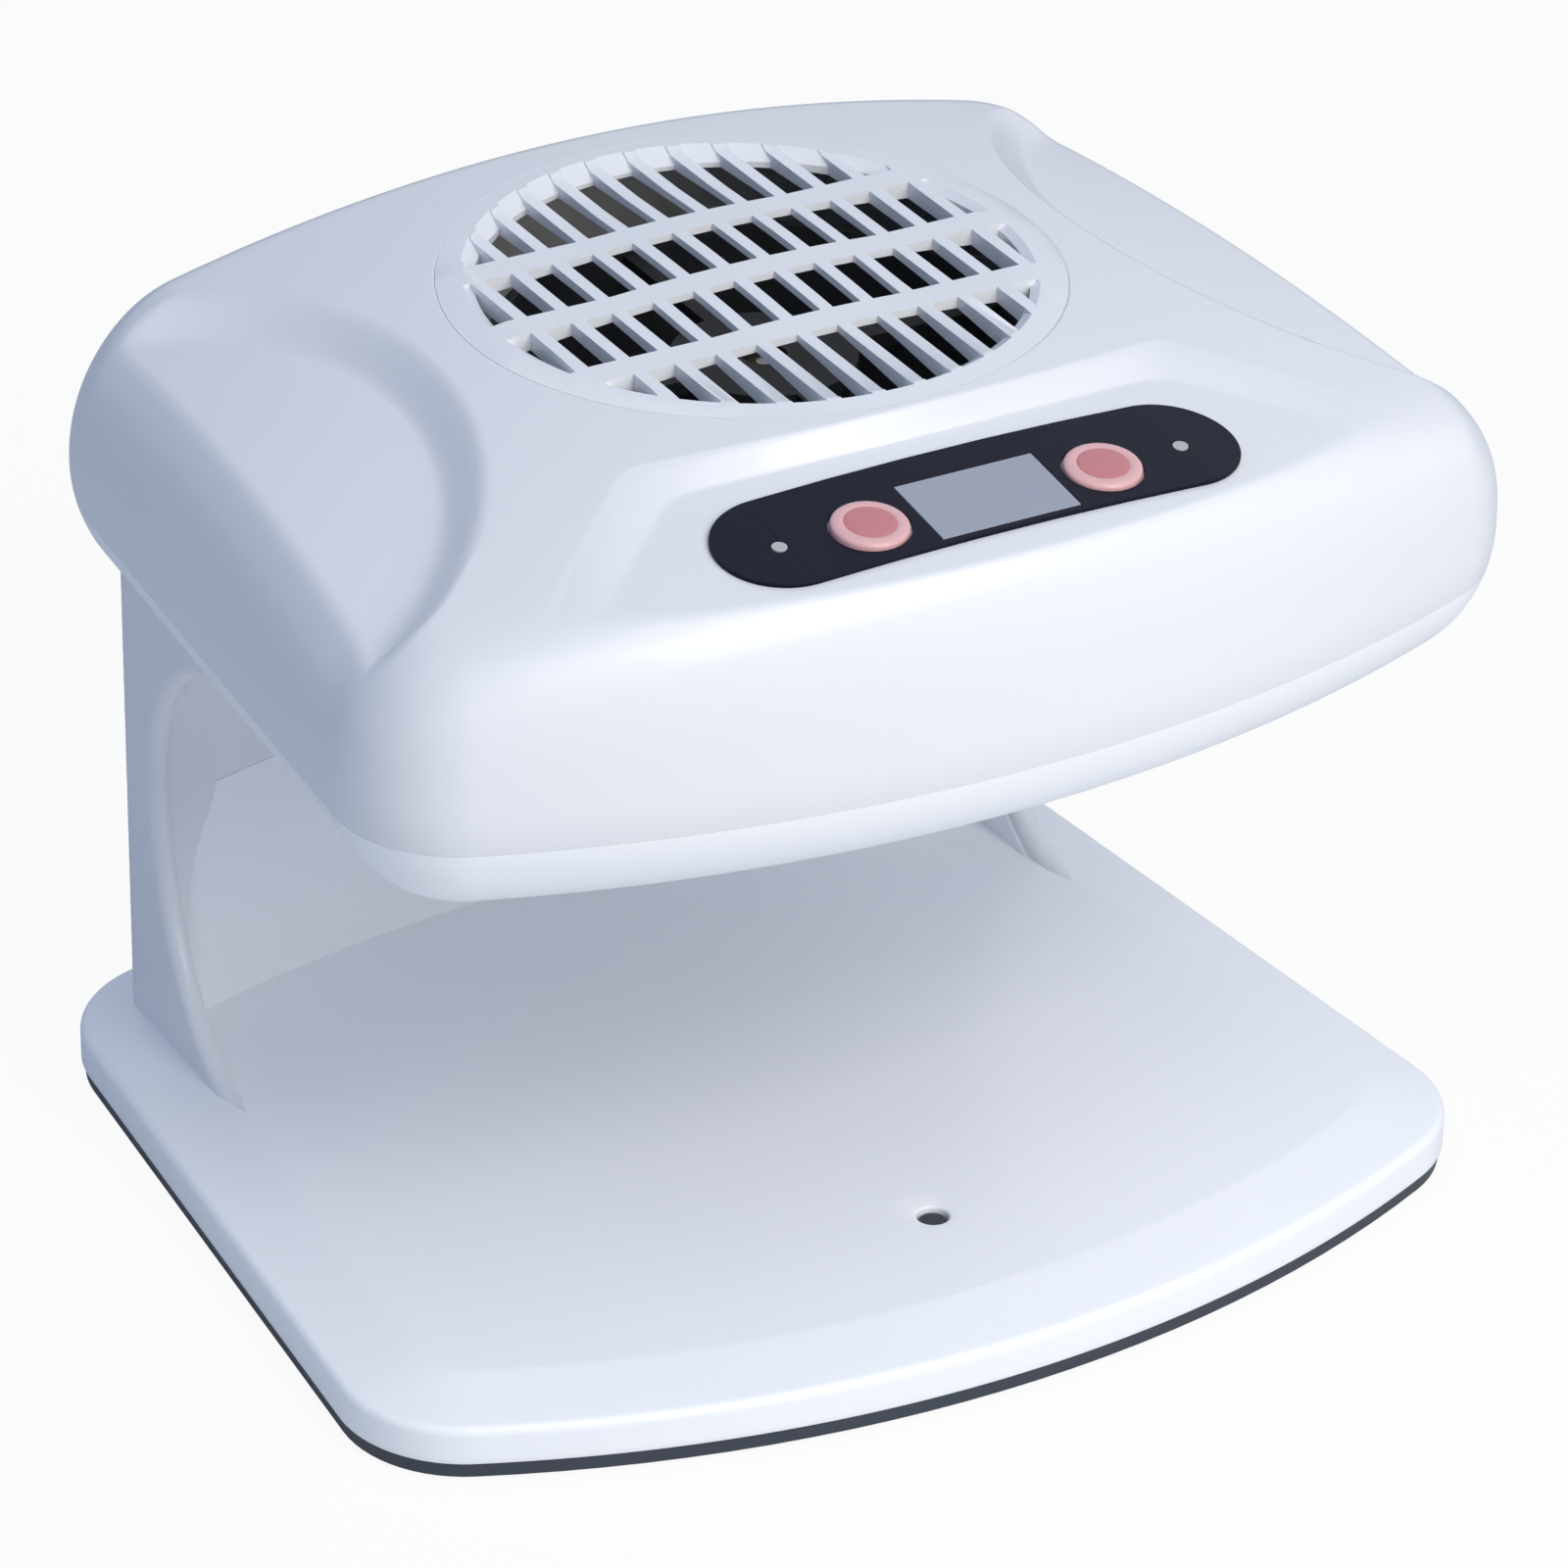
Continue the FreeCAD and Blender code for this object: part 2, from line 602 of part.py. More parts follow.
def panel_recess(grow):
    """Cutting tool of the panel's recess; grow widens and deepens it for the wall's inner face."""
    foot_runs = panel_edge("foot", grow)
    crest_runs = panel_edge("crest", grow)

    def ring(part, level=None):
        """Closed wire that lies between foot and crest, or beyond them, at their slope."""
        edges = []
        for foot_run, crest_run in zip(foot_runs, crest_runs):
            points = []
            for foot, crest in zip(foot_run, crest_run):
                point = foot + (crest - foot) * part
                low = floor_level(foot.x, foot.y) - grow
                high = crown_level(crest.x, crest.y) - grow
                point.z = low + (high - low) * part if level is None else level
                points.append(point)
            curve = Part.BSplineCurve()
            curve.interpolate(points)
            edges.append(curve.toShape())
        return Part.Wire(edges)

    wires = [ring(-0.5, 40.0), ring(-0.5), ring(2.0), ring(2.0, FAR)]
    return Part.makeLoft(wires, True, True).cut(placed(panel_floor(-grow), panel_place()))


def placed(shape, place):
    """Copy of a shape, moved by a placement."""
    copy = shape.copy()
    copy.Placement = place.multiply(copy.Placement)
    return copy


def head_solid(inner):
    """Head with its scoops and panel recess, moved in by inner."""
    tools = [scoop(side, inner) for _, side in SIDES]
    tools.append(panel_recess(inner))
    return head_form(inner).cut(tools)


def panel_stadium(inset, low, high):
    """Plate with round ends on the panel, in the panel's frame, following its crown."""
    half_wide = size("overlay_half_wide") - inset
    reach = size("overlay_half_long") - size("overlay_half_wide")
    bar = block((-reach, reach), (-half_wide, half_wide), (-20, 20))
    ends = [cylinder(half_wide, -20, 20, side * reach) for _, side in SIDES]
    plan = merge([bar] + ends)
    return plan.common(panel_floor(high)).cut(panel_floor(low))


def panel_holes(button_gap, display_gap, lamp_gap):
    """Openings for buttons, display and indicators, in the panel's frame."""
    display_long = size("display_long") / 2 + display_gap
    display_wide = size("display_wide") / 2 + display_gap
    front = -size("button_front")
    holes = [block((-display_long, display_long),
                   (front - display_wide, front + display_wide), (-8, 8))]
    for _, side in SIDES:
        holes.append(cylinder(size("button_radius") + button_gap, -8, 8,
                              side * size("button_offset"), front))
        holes.append(cylinder(size("lamp_radius") + lamp_gap, -8, 8,
                              side * size("lamp_offset"), -size("lamp_front")))
    return holes


def grille_disc(radius, low, high):
    """Upright cylinder round the grille's middle."""
    return cylinder(radius, low, high, 0.0, size("grille_back"))


OUTER = head_solid(0.0)
INNER = head_solid(size("wall"))

HEAD_SCREWS = ((-84.0, -48.0), (84.0, -48.0), (-78.0, 62.0), (78.0, 62.0))


def board_posts():
    """Posts that carry the control board below the panel, in the panel's frame."""
    across = size("board_long") / 2 - size("post_radius") - 1.0
    along = size("board_wide") / 2 - size("post_radius") - 0.5
    return [cylinder(size("post_radius"), -size("board_depth"), -size("wall") / 2, x, y)
            for x in (-across, across) for y in (-along, along)]


def head_top_shell():
    """Upper shell of the head, with its screw pillars, board posts and panel openings."""
    seam = size("head_seam")
    above = block((-FAR, FAR), (-FAR, FAR), (seam, FAR))
    shell = OUTER.common(above).cut(INNER)
    pillars = []
    for x, y in HEAD_SCREWS:
        pillars.append(cylinder(size("boss_radius"), seam, size("head_top"), x, y).common(OUTER))
    posts = [placed(post, panel_place()).common(OUTER) for post in board_posts()]
    shell = merge([shell] + pillars + posts)
    cuts = [grille_disc(size("grille_radius") + size("joint_gap"), size("head_seam"), FAR)]
    cuts += [cylinder(size("screw_radius"), seam - 1, seam + 16, x, y) for x, y in HEAD_SCREWS]
    gap = size("joint_gap")
    cuts += [placed(hole, panel_place()) for hole in panel_holes(gap, gap, gap)]
    return shell.cut(cuts)


feature("head_top_shell", head_top_shell())


def head_lower_shell():
    """Lower shell of the head, open towards the upper one, with the outlet in its floor."""
    seam = size("head_seam")
    wall = size("wall")
    below = block((-FAR, FAR), (-FAR, FAR), (-FAR, seam))
    shell = head_form(0.0).common(below).cut(head_form(wall))
    floor = size("head_bottom")
    bosses = [cylinder(size("boss_radius"), floor, seam, x, y) for x, y in HEAD_SCREWS]
    shell = merge([shell] + bosses)
    cuts = [cylinder(size("outlet_radius") + size("joint_gap"), floor - 1, floor + wall + 1)]
    for x, y in HEAD_SCREWS:
        cuts.append(cylinder(size("screw_radius") + 0.2, floor, seam + 1, x, y))
        cuts.append(cylinder(size("screw_head") + 0.2, floor - 1, floor + 8, x, y))
    cuts += [strut_slot(side, 0.2) for _, side in SIDES]
    cuts.append(cylinder(size("eye_lens") + 0.2, floor - 1, floor + wall + 1,
                         size("eye_side"), size("eye_front")))
    cuts.append(cylinder(size("lead_radius") + 0.3, floor - 1, seam, 0, lead_rear()))
    return shell.cut(cuts)


def strut_rear():
    """Middle of the struts, which lie against the inside of the column's rear wall."""
    inside = size("column_rear") - size("column_bow") - size("wall")
    return inside - size("joint_gap") - size("strut_thick") / 2


def lead_rear():
    """Place of the sensor's lead between the column's rear wall and its lining."""
    return size("column_rear") - size("wall") - size("joint_gap") - size("lead_radius")


def strut_slot(side, gap):
    """Space taken by a strut, widened by gap."""
    x = side * (size("column_half_rear") - size("strut_inset"))
    half_wide = size("strut_wide") / 2 + gap
    half_thick = size("strut_thick") / 2 + gap
    y = strut_rear()
    return block((x - half_wide, x + half_wide), (y - half_thick, y + half_thick),
                 (size("plate_top"), size("strut_top")))


feature("head_lower_shell", head_lower_shell())


def grille_cone(low_radius, low_fall, high_radius, high_fall):
    """Solid inside a cone round the grille's middle; the falls are depths below the crown there."""
    top = crown_level(0, size("grille_back"))
    slope = (low_fall - high_fall) / (high_radius - low_radius)
    height = 40.0
    bottom = top - low_fall
    return Part.makeCone(low_radius, low_radius + height / slope, height,
                         Vector(0, size("grille_back"), bottom), UP)


def intake_grille():
    """Round insert with sunk bars, whose slots run out up the slope of its dished rim."""
    radius = size("grille_radius")
    sunk = size("grille_sunk")
    under = sunk + size("grille_thick")
    wall = size("wall")
    low = size("head_top") - 30
    plug = grille_disc(radius, low, FAR).common(OUTER).cut(crown(under))
    flange = grille_disc(radius + 3.0, low, FAR).common(head_solid(wall + 0.05)).cut(crown(under))
    inner_radius = radius - size("grille_rim") - size("grille_dish")
    dish = grille_cone(inner_radius, sunk + 1.0, radius - size("grille_rim"), 1.0).cut(crown(sunk))
    disc = merge([plug, flange]).cut(dish)
    reach = size("slot_reach")
    ends = grille_cone(reach, under + 1.0, radius - size("grille_rim") / 2, 1.0)
    ends = merge([ends, grille_disc(reach, low, low + 30)])
    slots = []
    pitch = size("slot_pitch")
    half = size("slot_wide") / 2
    half_rib = size("rib_wide") / 2
    back = size("grille_back")
    columns = int(reach / pitch)
    rows = ((0.0, size("rib_pitch") - half_rib), (size("rib_pitch") + half_rib, radius))
    for i in range(-columns, columns + 1):
        for near, far in rows:
            start = near if near else half_rib
            for span in ((start, far), (-far, -start)):
                slot = block((i * pitch - half, i * pitch + half), (back + span[0], back + span[1]),
                             (low, FAR))
                slots.append(slot.common(ends))
    return disc.cut([slot for slot in slots if slot.Volume > 0])


feature("intake_grille", intake_grille())

# ---------------------------------------------------------------- control panel


def control_overlay():
    """Dark plate with round ends, pierced for buttons, display and indicators."""
    plate = panel_stadium(0.0, 0.05, size("overlay_thick") + 0.05)
    gap = size("joint_gap")
    return plate.cut(panel_holes(gap, 0.1, 0.1))


feature("control_overlay", control_overlay(), panel_place())


def panel_point(across, along, normal):
    """Point of the panel's frame as a vector in the object's frame."""
    return panel_place().multVec(Vector(across, along, normal))


def panel_body(label, across, along, normal):
    """Body whose own XY plane is parallel to the panel."""
    body = DOC.addObject("PartDesign::Body", label)
    body.Placement = Placement(panel_point(across, along, normal),
                               Rotation(RIGHT, size("panel_tilt")))
    return node(body, label)


DISPLAY_FRONT = -size("button_front")

window = panel_body("lcd_window", 0, DISPLAY_FRONT, -1.2)
window_sketch = new_sketch(window, "window_outline")
add_rectangle(window_sketch, "Sizes.display_long", "Sizes.display_wide")
pad(window, window_sketch, "1.2 + Sizes.overlay_thick", "window_plate")

module = panel_body("lcd_module", 0, DISPLAY_FRONT, -size("board_depth"))
module_sketch = new_sketch(module, "module_outline")
add_rectangle(module_sketch, "Sizes.display_long + 2", "Sizes.display_wide + 2")
MODULE_HIGH = "(Sizes.board_depth - Sizes.wall - 2.3)"
pad(module, module_sketch, MODULE_HIGH, "module_block")
glass_sketch = new_sketch(module, "module_glass", lift=MODULE_HIGH)
add_rectangle(glass_sketch, "Sizes.display_long - 0.4", "Sizes.display_wide - 0.4")
pad(module, glass_sketch, f"Sizes.board_depth - 1.2 - {MODULE_HIGH}", "glass_block")

board = panel_body("control_board", 0, 0, -size("board_depth") - size("board_thick"))
board_sketch = new_sketch(board, "board_outline")
add_rectangle(board_sketch, "Sizes.board_long", "Sizes.board_wide")
pad(board, board_sketch, "Sizes.board_thick", "board_plate")


def button_cap(label, side):
    """Round cap with a low dome, a keeper flange under the panel and a stem to its switch."""
    across = side * size("button_offset")
    radius = size("button_radius")
    top = size("overlay_thick") + size("button_proud")
    drop = panel_sag(across)
    body = panel_body(label, across, DISPLAY_FRONT, -drop)
    sketch = new_sketch(body, "profile", "XZ_Plane")
    keeper = radius + 0.8
    keeper_top = -size("wall") - 1.0
    stem = 1.8
    switch_top = -size("board_depth") + drop + 5.0
    edge = top - 0.7
    points = (
        (0, top), (radius - 2.2, top - 0.15), (radius - 0.5, edge + 0.25), (radius, edge - 0.3),
        (radius, keeper_top), (keeper, keeper_top), (keeper, keeper_top - 0.8),
        (stem, keeper_top - 0.8), (stem, switch_top), (0, switch_top),
    )
    vertices = [Vector(x, z, 0) for x, z in points]
    for i, start in enumerate(vertices):
        sketch.addGeometry(Part.LineSegment(start, vertices[(i + 1) % len(vertices)]))
    for i in range(len(vertices)):
        follower = (i + 1) % len(vertices)
        sketch.addConstraint(Sketcher.Constraint("Coincident", i, 2, follower, 1))
    for i in range(len(vertices)):
        sketch.addConstraint(Sketcher.Constraint("Block", i))
    turn = body.newObject("PartDesign::Revolution", "cap_turned")
    turn.Profile = sketch
    turn.ReferenceAxis = (sketch, ["V_Axis"])
    turn.Angle = 360.0
    return body


button_cap("cool_button", -1)
button_cap("hot_button", 1)

for side_name, side_sign in SIDES:
    switch = panel_body(f"tact_switch_{side_name}", side_sign * size("button_offset"), DISPLAY_FRONT,
                        -size("board_depth"))
    switch_sketch = new_sketch(switch, "switch_outline")
    add_rectangle(switch_sketch, "6", "6")
    pad(switch, switch_sketch, "3.5", "switch_block")
    bore_sketch = new_sketch(switch, "plunger_bore", lift="3.5")
    add_circle(bore_sketch, "1.8")
    pocket(switch, bore_sketch, "2", "bore")

    plunger = panel_body(f"tact_plunger_{side_name}", side_sign * size("button_offset"), DISPLAY_FRONT,
                         -size("board_depth") + 2.2)
    plunger_sketch = new_sketch(plunger, "plunger_outline")
    add_circle(plunger_sketch, "1.7")
    pad(plunger, plunger_sketch, "2.8", "plunger_block")

    lamp_drop = panel_sag(size("lamp_offset"))
    lamp = panel_body(f"indicator_{side_name}", side_sign * size("lamp_offset"), -size("lamp_front"),
                      -size("board_depth"))
    leg_sketch = new_sketch(lamp, "lens_outline")
    add_circle(leg_sketch, "Sizes.lamp_radius")
    pad(lamp, leg_sketch, f"Sizes.board_depth + Sizes.overlay_thick - {lamp_drop - 0.2:.3f}", "lens")

# ---------------------------------------------------------------- fan

OUTLET_RIM = 2.4   # width of the outlet grille's outer ring

outlet_parts = []
outlet_face = tube("outlet_face", "Sizes.outlet_radius", f"Sizes.outlet_radius - {OUTLET_RIM}",
                   "Sizes.wall", "Sizes.head_bottom")
outlet_rim = tube("outlet_rim", "Sizes.outlet_flange", f"Sizes.outlet_radius - {OUTLET_RIM}",
                  "1.5", "Sizes.head_bottom + Sizes.wall")
outlet_hub = primitive("Cylinder", "outlet_hub", {
    "Radius": "10", "Height": "Sizes.wall", "Placement.Base.z": "Sizes.head_bottom"})
outlet_parts += [outlet_face, outlet_rim, outlet_hub]
ring_count = int((size("outlet_radius") - 14.0) / size("outlet_pitch"))
for i in range(1, ring_count + 1):
    middle = f"(10 + {i} * Sizes.outlet_pitch)"
    outlet_parts.append(tube(f"outlet_ring_{i}", f"{middle} + Sizes.outlet_ring / 2",
                             f"{middle} - Sizes.outlet_ring / 2", "Sizes.wall", "Sizes.head_bottom"))
SPOKES = 8
for i in range(SPOKES):
    spoke = primitive("Box", f"outlet_spoke_{i}", {
        "Length": "Sizes.outlet_radius - 9", "Width": "Sizes.outlet_ring", "Height": "Sizes.wall"})
    turn_angle = 360.0 * i / SPOKES
    bind(spoke, {
        "Placement.Base.z": "Sizes.head_bottom",
        "Placement.Base.x": f"8 * cos({turn_angle}) + Sizes.outlet_ring / 2 * sin({turn_angle})",
        "Placement.Base.y": f"8 * sin({turn_angle}) - Sizes.outlet_ring / 2 * cos({turn_angle})",
        "Placement.Rotation.Angle": f"{turn_angle}"})
    outlet_parts.append(spoke)
outlet = DOC.addObject("Part::MultiFuse", "outlet_grille_all")
outlet.Shapes = outlet_parts
outlet.Refine = True
node(outlet, "outlet_grille")

DUCT_BOTTOM = "Sizes.head_bottom + Sizes.wall + 1.5"
duct_wall = tube("duct_wall", "Sizes.duct_radius", "Sizes.duct_radius - Sizes.duct_wall",
                 f"Sizes.duct_top - ({DUCT_BOTTOM})", DUCT_BOTTOM)
duct_foot = tube("duct_foot", "Sizes.duct_radius + 4", "Sizes.duct_radius - Sizes.duct_wall",
                 "2", DUCT_BOTTOM)
duct = DOC.addObject("Part::MultiFuse", "duct_all")
duct.Shapes = [duct_wall, duct_foot]
duct.Refine = True
node(duct, "fan_duct")

bracket = new_body("motor_bracket", ("0", "0", "Sizes.motor_top"))
hub_sketch = new_sketch(bracket, "bracket_disc")
add_circle(hub_sketch, "Sizes.motor_radius + 1")
pad(bracket, hub_sketch, "Sizes.bracket_thick", "disc")
arm_sketch = new_sketch(bracket, "bracket_arm", "YZ_Plane", lift="Sizes.motor_radius - 1")
arm_sketch.setExpression("AttachmentOffset.Base.y", "Sizes.bracket_thick / 2")
add_rectangle(arm_sketch, "6", "Sizes.bracket_thick")
arm = pad(bracket, arm_sketch,
          "Sizes.duct_radius - Sizes.duct_wall - Sizes.motor_radius + 0.9", "arm")
polar(bracket, arm, "4", "arms")
relief_sketch = new_sketch(bracket, "bearing_relief", lift="Sizes.bracket_thick")
add_circle(relief_sketch, "Sizes.bearing_radius + 0.5")
pocket(bracket, relief_sketch, "Sizes.bracket_thick", "relief")

MOTOR_BOTTOM = "Sizes.motor_top - Sizes.motor_height"
motor = new_body("motor_can", ("0", "0", MOTOR_BOTTOM))
can_sketch = new_sketch(motor, "can_outline")
add_circle(can_sketch, "Sizes.motor_radius")
pad(motor, can_sketch, "Sizes.motor_height", "can")
core_sketch = new_sketch(motor, "shaft_tunnel", lift="Sizes.motor_height")
add_circle(core_sketch, "Sizes.shaft_radius + 0.6")
pocket(motor, core_sketch, "Sizes.motor_height", "tunnel")
seat_sketch = new_sketch(motor, "upper_seat", lift="Sizes.motor_height")
add_circle(seat_sketch, "Sizes.bearing_radius")
pocket(motor, seat_sketch, "Sizes.bearing_height", "seat_above")
lower_sketch = new_sketch(motor, "lower_seat", lift="Sizes.bearing_height")
add_circle(lower_sketch, "Sizes.bearing_radius")
pocket(motor, lower_sketch, "Sizes.bearing_height", "seat_below")

for where, level in (("upper", "Sizes.motor_top - Sizes.bearing_height"), ("lower", MOTOR_BOTTOM)):
    bush = tube(f"bush_{where}", "Sizes.bearing_radius", "Sizes.shaft_radius + Sizes.shaft_gap",
                "Sizes.bearing_height", level)
    node(bush, f"bearing_{where}")

HUB_TOP = f"{MOTOR_BOTTOM} - 1.2"
HUB_BOTTOM = f"{HUB_TOP} - Sizes.hub_height"
shaft = primitive("Cylinder", "shaft", {
    "Radius": "Sizes.shaft_radius",
    "Height": f"Sizes.motor_top + 1.5 - ({HUB_BOTTOM} - 3)",
    "Placement.Base.z": f"{HUB_BOTTOM} - 3"})
node(shaft, "fan_shaft")

impeller = new_body("impeller", ("0", "0", HUB_BOTTOM))
impeller_hub = new_sketch(impeller, "hub_outline")
add_circle(impeller_hub, "Sizes.hub_radius")
pad(impeller, impeller_hub, "Sizes.hub_height", "hub")
blade_sketch = new_sketch(impeller, "blade_section", "YZ_Plane", lift="Sizes.hub_radius / 2")
blade_sketch.setExpression("AttachmentOffset.Base.y", "Sizes.hub_height / 2")
blade_sketch.setExpression("AttachmentOffset.Rotation.Angle", "Sizes.blade_pitch")
add_rectangle(blade_sketch, "Sizes.blade_chord", "Sizes.blade_thick")
blade = pad(impeller, blade_sketch,
            "Sizes.duct_radius - Sizes.duct_wall - Sizes.tip_gap - Sizes.hub_radius / 2", "blade")
polar(impeller, blade, "Sizes.blade_count", "blades")
impeller_bore = new_sketch(impeller, "shaft_bore", lift="Sizes.hub_height")
add_circle(impeller_bore, "Sizes.shaft_radius")
pocket(impeller, impeller_bore, "Sizes.hub_height", "bore")

clip = tube("clip_ring", "Sizes.shaft_radius + 2.5", "Sizes.shaft_radius", "1.2",
            f"{HUB_BOTTOM} - 1.2")
node(clip, "shaft_clip")

# ---------------------------------------------------------------- heater

HEATER_BOTTOM = size("head_bottom") + size("wall")
COIL_LEVEL = HEATER_BOTTOM + size("mica_height")


def heater_coil(gap=0.0):
    """Rings of wound wire, joined by one radial run, on top of the mica plates."""
    thick = size("coil_radius") + gap
    first = 2 * size("coil_pitch") - 2.0
    radii = [first + i * size("coil_pitch") for i in range(4)]
    rings = [Part.makeTorus(r, thick, Vector(0, 0, COIL_LEVEL), UP) for r in radii]
    run = Part.makeCylinder(thick / 2, radii[-1] - radii[0],
                            Vector(radii[0], 0, COIL_LEVEL), RIGHT)
    run.rotate(Vector(0, 0, COIL_LEVEL), UP, 45)
    return merge(rings + [run])


def heater_frame():
    """Two mica plates that cross, with notches for the coil, standing on the outlet grille."""
    half = size("outlet_radius") - OUTLET_RIM - 0.3
    half_thick = size("mica_thick") / 2
    span = (HEATER_BOTTOM, COIL_LEVEL + size("coil_radius") / 2)
    plates = [block((-half, half), (-half_thick, half_thick), span),
              block((-half_thick, half_thick), (-half, half), span)]
    cross = merge(plates)
    return cross.cut(heater_coil(size("joint_gap") / 2))


feature("heater_coil", heater_coil())
feature("heater_frame", heater_frame())

cutout = primitive("Box", "cutout_block", {
    "Length": "9", "Width": "4", "Height": "6",
    "Placement.Base.x": "Sizes.duct_radius - Sizes.duct_wall - 26",
    "Placement.Base.y": "Sizes.mica_thick / 2",
    "Placement.Base.z": "Sizes.head_bottom + Sizes.wall + 1"})
node(cutout, "thermal_cutout")

# ---------------------------------------------------------------- base


def base_profile():
    """Insets and levels of the base's edge, from its foot to the crease round its top."""
    rise = size("base_top") - size("base_shoulder")
    slope = math.atan2(rise, size("bevel_wide"))
    radius = size("bevel_round")
    turn = math.pi / 2 - slope
    low = size("base_shoulder") - radius * math.tan(turn / 2)
    points = [(0.0, size("plate_top"))]
    for angle in steps(0.0, turn, 4):
        points.append((radius * (1.0 - math.cos(angle)), low + radius * math.sin(angle)))
    points.append((size("bevel_wide"), size("base_top")))
    return points


def base_form(inner):
    """Base as a solid, moved in by inner on every side but the bottom."""
    outline = Outline("base")
    foot = size("plate_top")
    wires = [outline.wire(inset + inner, max(level - inner, foot))
             for inset, level in base_profile()]
    return Part.makeLoft(wires, True, True)


class Column(Outline):
    """Outline of the column; its front end lies under the head and is cut off."""

    def __init__(self):
        self.half_front = size("column_half")
        self.half_rear = size("column_half_rear")
        self.front = size("column_front") - 60.0
        self.front_bow = 4.0
        self.rear = size("column_rear")
        self.rear_bow = size("column_bow")
        self.corner_front = size("column_corner")
        self.corner_rear = size("column_corner")
        self.settle()


class Throat(Outline):
    """Outline of the space between the cheeks, in front of the inner wall."""

    def __init__(self):
        self.half_front = size("column_half") - size("cheek")
        self.half_rear = size("column_half_rear") - size("cheek")
        self.front = size("column_front") - 90.0
        self.front_bow = 4.0
        self.rear = size("throat_rear")
        self.rear_bow = size("throat_bow")
        self.corner_front = size("throat_corner")
        self.corner_rear = size("throat_corner")
        self.settle()


def cheek_profile(back):
    """Region behind the cheeks' front edge, seen from the side, moved back by back."""
    level = size("throat_level")
    radius = size("throat_radius") + back
    middle = Vector(0, size("throat_reach") - size("throat_radius"), level)
    drop = level - size("base_top") + back
    top = middle + Vector(0, 0, radius)
    rearmost = middle + Vector(0, radius, 0)
    foot = middle - Vector(0, 0, drop)
    ceiling = size("head_widest")
    corners = [top, Vector(0, middle.y, ceiling), Vector(0, FAR / 2, ceiling),
               Vector(0, FAR / 2, -20), Vector(0, middle.y, -20), foot]
    edges = [Part.LineSegment(a, b).toShape() for a, b in zip(corners, corners[1:])]
    below = Part.Ellipse(foot, rearmost, middle)
    edges.append(Part.ArcOfEllipse(below, 0.0, math.pi / 2).toShape())
    turn = math.radians(45)
    between = middle + Vector(0, radius * math.cos(turn), radius * math.sin(turn))
    edges.append(Part.Arc(rearmost, between, top).toShape())
    prism = Part.Face(Part.Wire(edges)).extrude(RIGHT * FAR)
    prism.translate(Vector(-FAR / 2, 0, 0))
    return prism


def column_form():
    """Column with its cheeks as one solid, between the base and the head."""
    bottom = size("plate_top")
    top = size("head_seam")
    ring = Column().prism(0.0, bottom, top).cut(Throat().prism(0.0, bottom - 1, top + 1))
    trimmed = ring.common(cheek_profile(0.0))
    return trimmed.cut([head_form(0.0), base_form(0.0)])


COLUMN = column_form()
CORE = Column().prism(size("wall"), 0, FAR).common(cheek_profile(size("edge_rim")))
LINING = Throat().prism(-size("skin"), 0, FAR).common(cheek_profile(size("edge_rim") + 0.2))


def rear_housing():
    """Outer skin of the column with its two cheeks and the rim along their front edge."""
    shell = COLUMN.cut(CORE)
    hole = Part.makeCylinder(size("gland_bore") + 3.2, 20,
                             Vector(size("gland_side"), size("column_rear") - 10, size("gland_level")),
                             REARWARD)
    return shell.cut(hole)


feature("rear_housing", rear_housing())


def lining(low, high):
    """Part of the column's inner wall between two levels."""
    band = block((-FAR, FAR), (-FAR, FAR), (low, high))
    return COLUMN.common(LINING).common(band)


feature("column_lining", lining(size("lining_seam") + 0.3, size("head_bottom") + 30))

BASE_SCREWS = ((-98.0, -30.0), (98.0, -30.0), (0.0, -84.0), (-84.0, 60.0), (84.0, 60.0))


def base_top_shell():
    """Top of the base, which turns up at the rear into the lower half of the inner wall."""
    outer = base_form(0.0)
    inner = base_form(size("wall"))
    skirt = Outline("base").prism(size("wall"), size("plate_top") - 1, size("plate_top") + 1)
    wall_foot = lining(0.0, size("lining_seam"))
    top = size("base_top")
    shell = outer.cut([inner, skirt])
    bosses = [cylinder(size("boss_radius"), size("plate_top"), top - 1, x, y).common(outer)
              for x, y in BASE_SCREWS]
    shell = merge([shell, wall_foot] + bosses)
    cuts = [cylinder(size("screw_radius"), 0, top - 3, x, y) for x, y in BASE_SCREWS]
    cuts.append(cylinder(size("eye_radius"), 0, FAR, size("eye_side"), size("eye_front")))
    cuts += [strut_slot(side, 0.2) for _, side in SIDES]
    cuts.append(cylinder(size("lead_radius") + 0.3, top - 5, top + 1, 0, lead_rear()))
    return shell.cut(cuts)


feature("base_top_shell", base_top_shell())

FEET = [(name_y, side_name, side * size("foot_side"), y)
        for name_y, y in (("front", size("foot_front")), ("rear", size("foot_rear")))
        for side_name, side in SIDES]


def base_plate():
    """Flat bottom plate with seats for the feet and countersunk screw holes."""
    bottom = size("plate_bottom")
    top = size("plate_top")
    plate = Outline("base").prism(size("plate_inset"), bottom, top)
    cuts = [cylinder(size("foot_radius") + 0.05, bottom - 1, bottom + size("foot_seat"), x, y)
            for _, _, x, y in FEET]
    for x, y in BASE_SCREWS:
        cuts.append(cylinder(size("screw_radius") + 0.2, 0, top + 1, x, y))
        cuts.append(cylinder(size("screw_head") + 0.2, 0, bottom + size("screw_head_high"), x, y))
    return plate.cut(cuts)


feature("base_plate", base_plate())

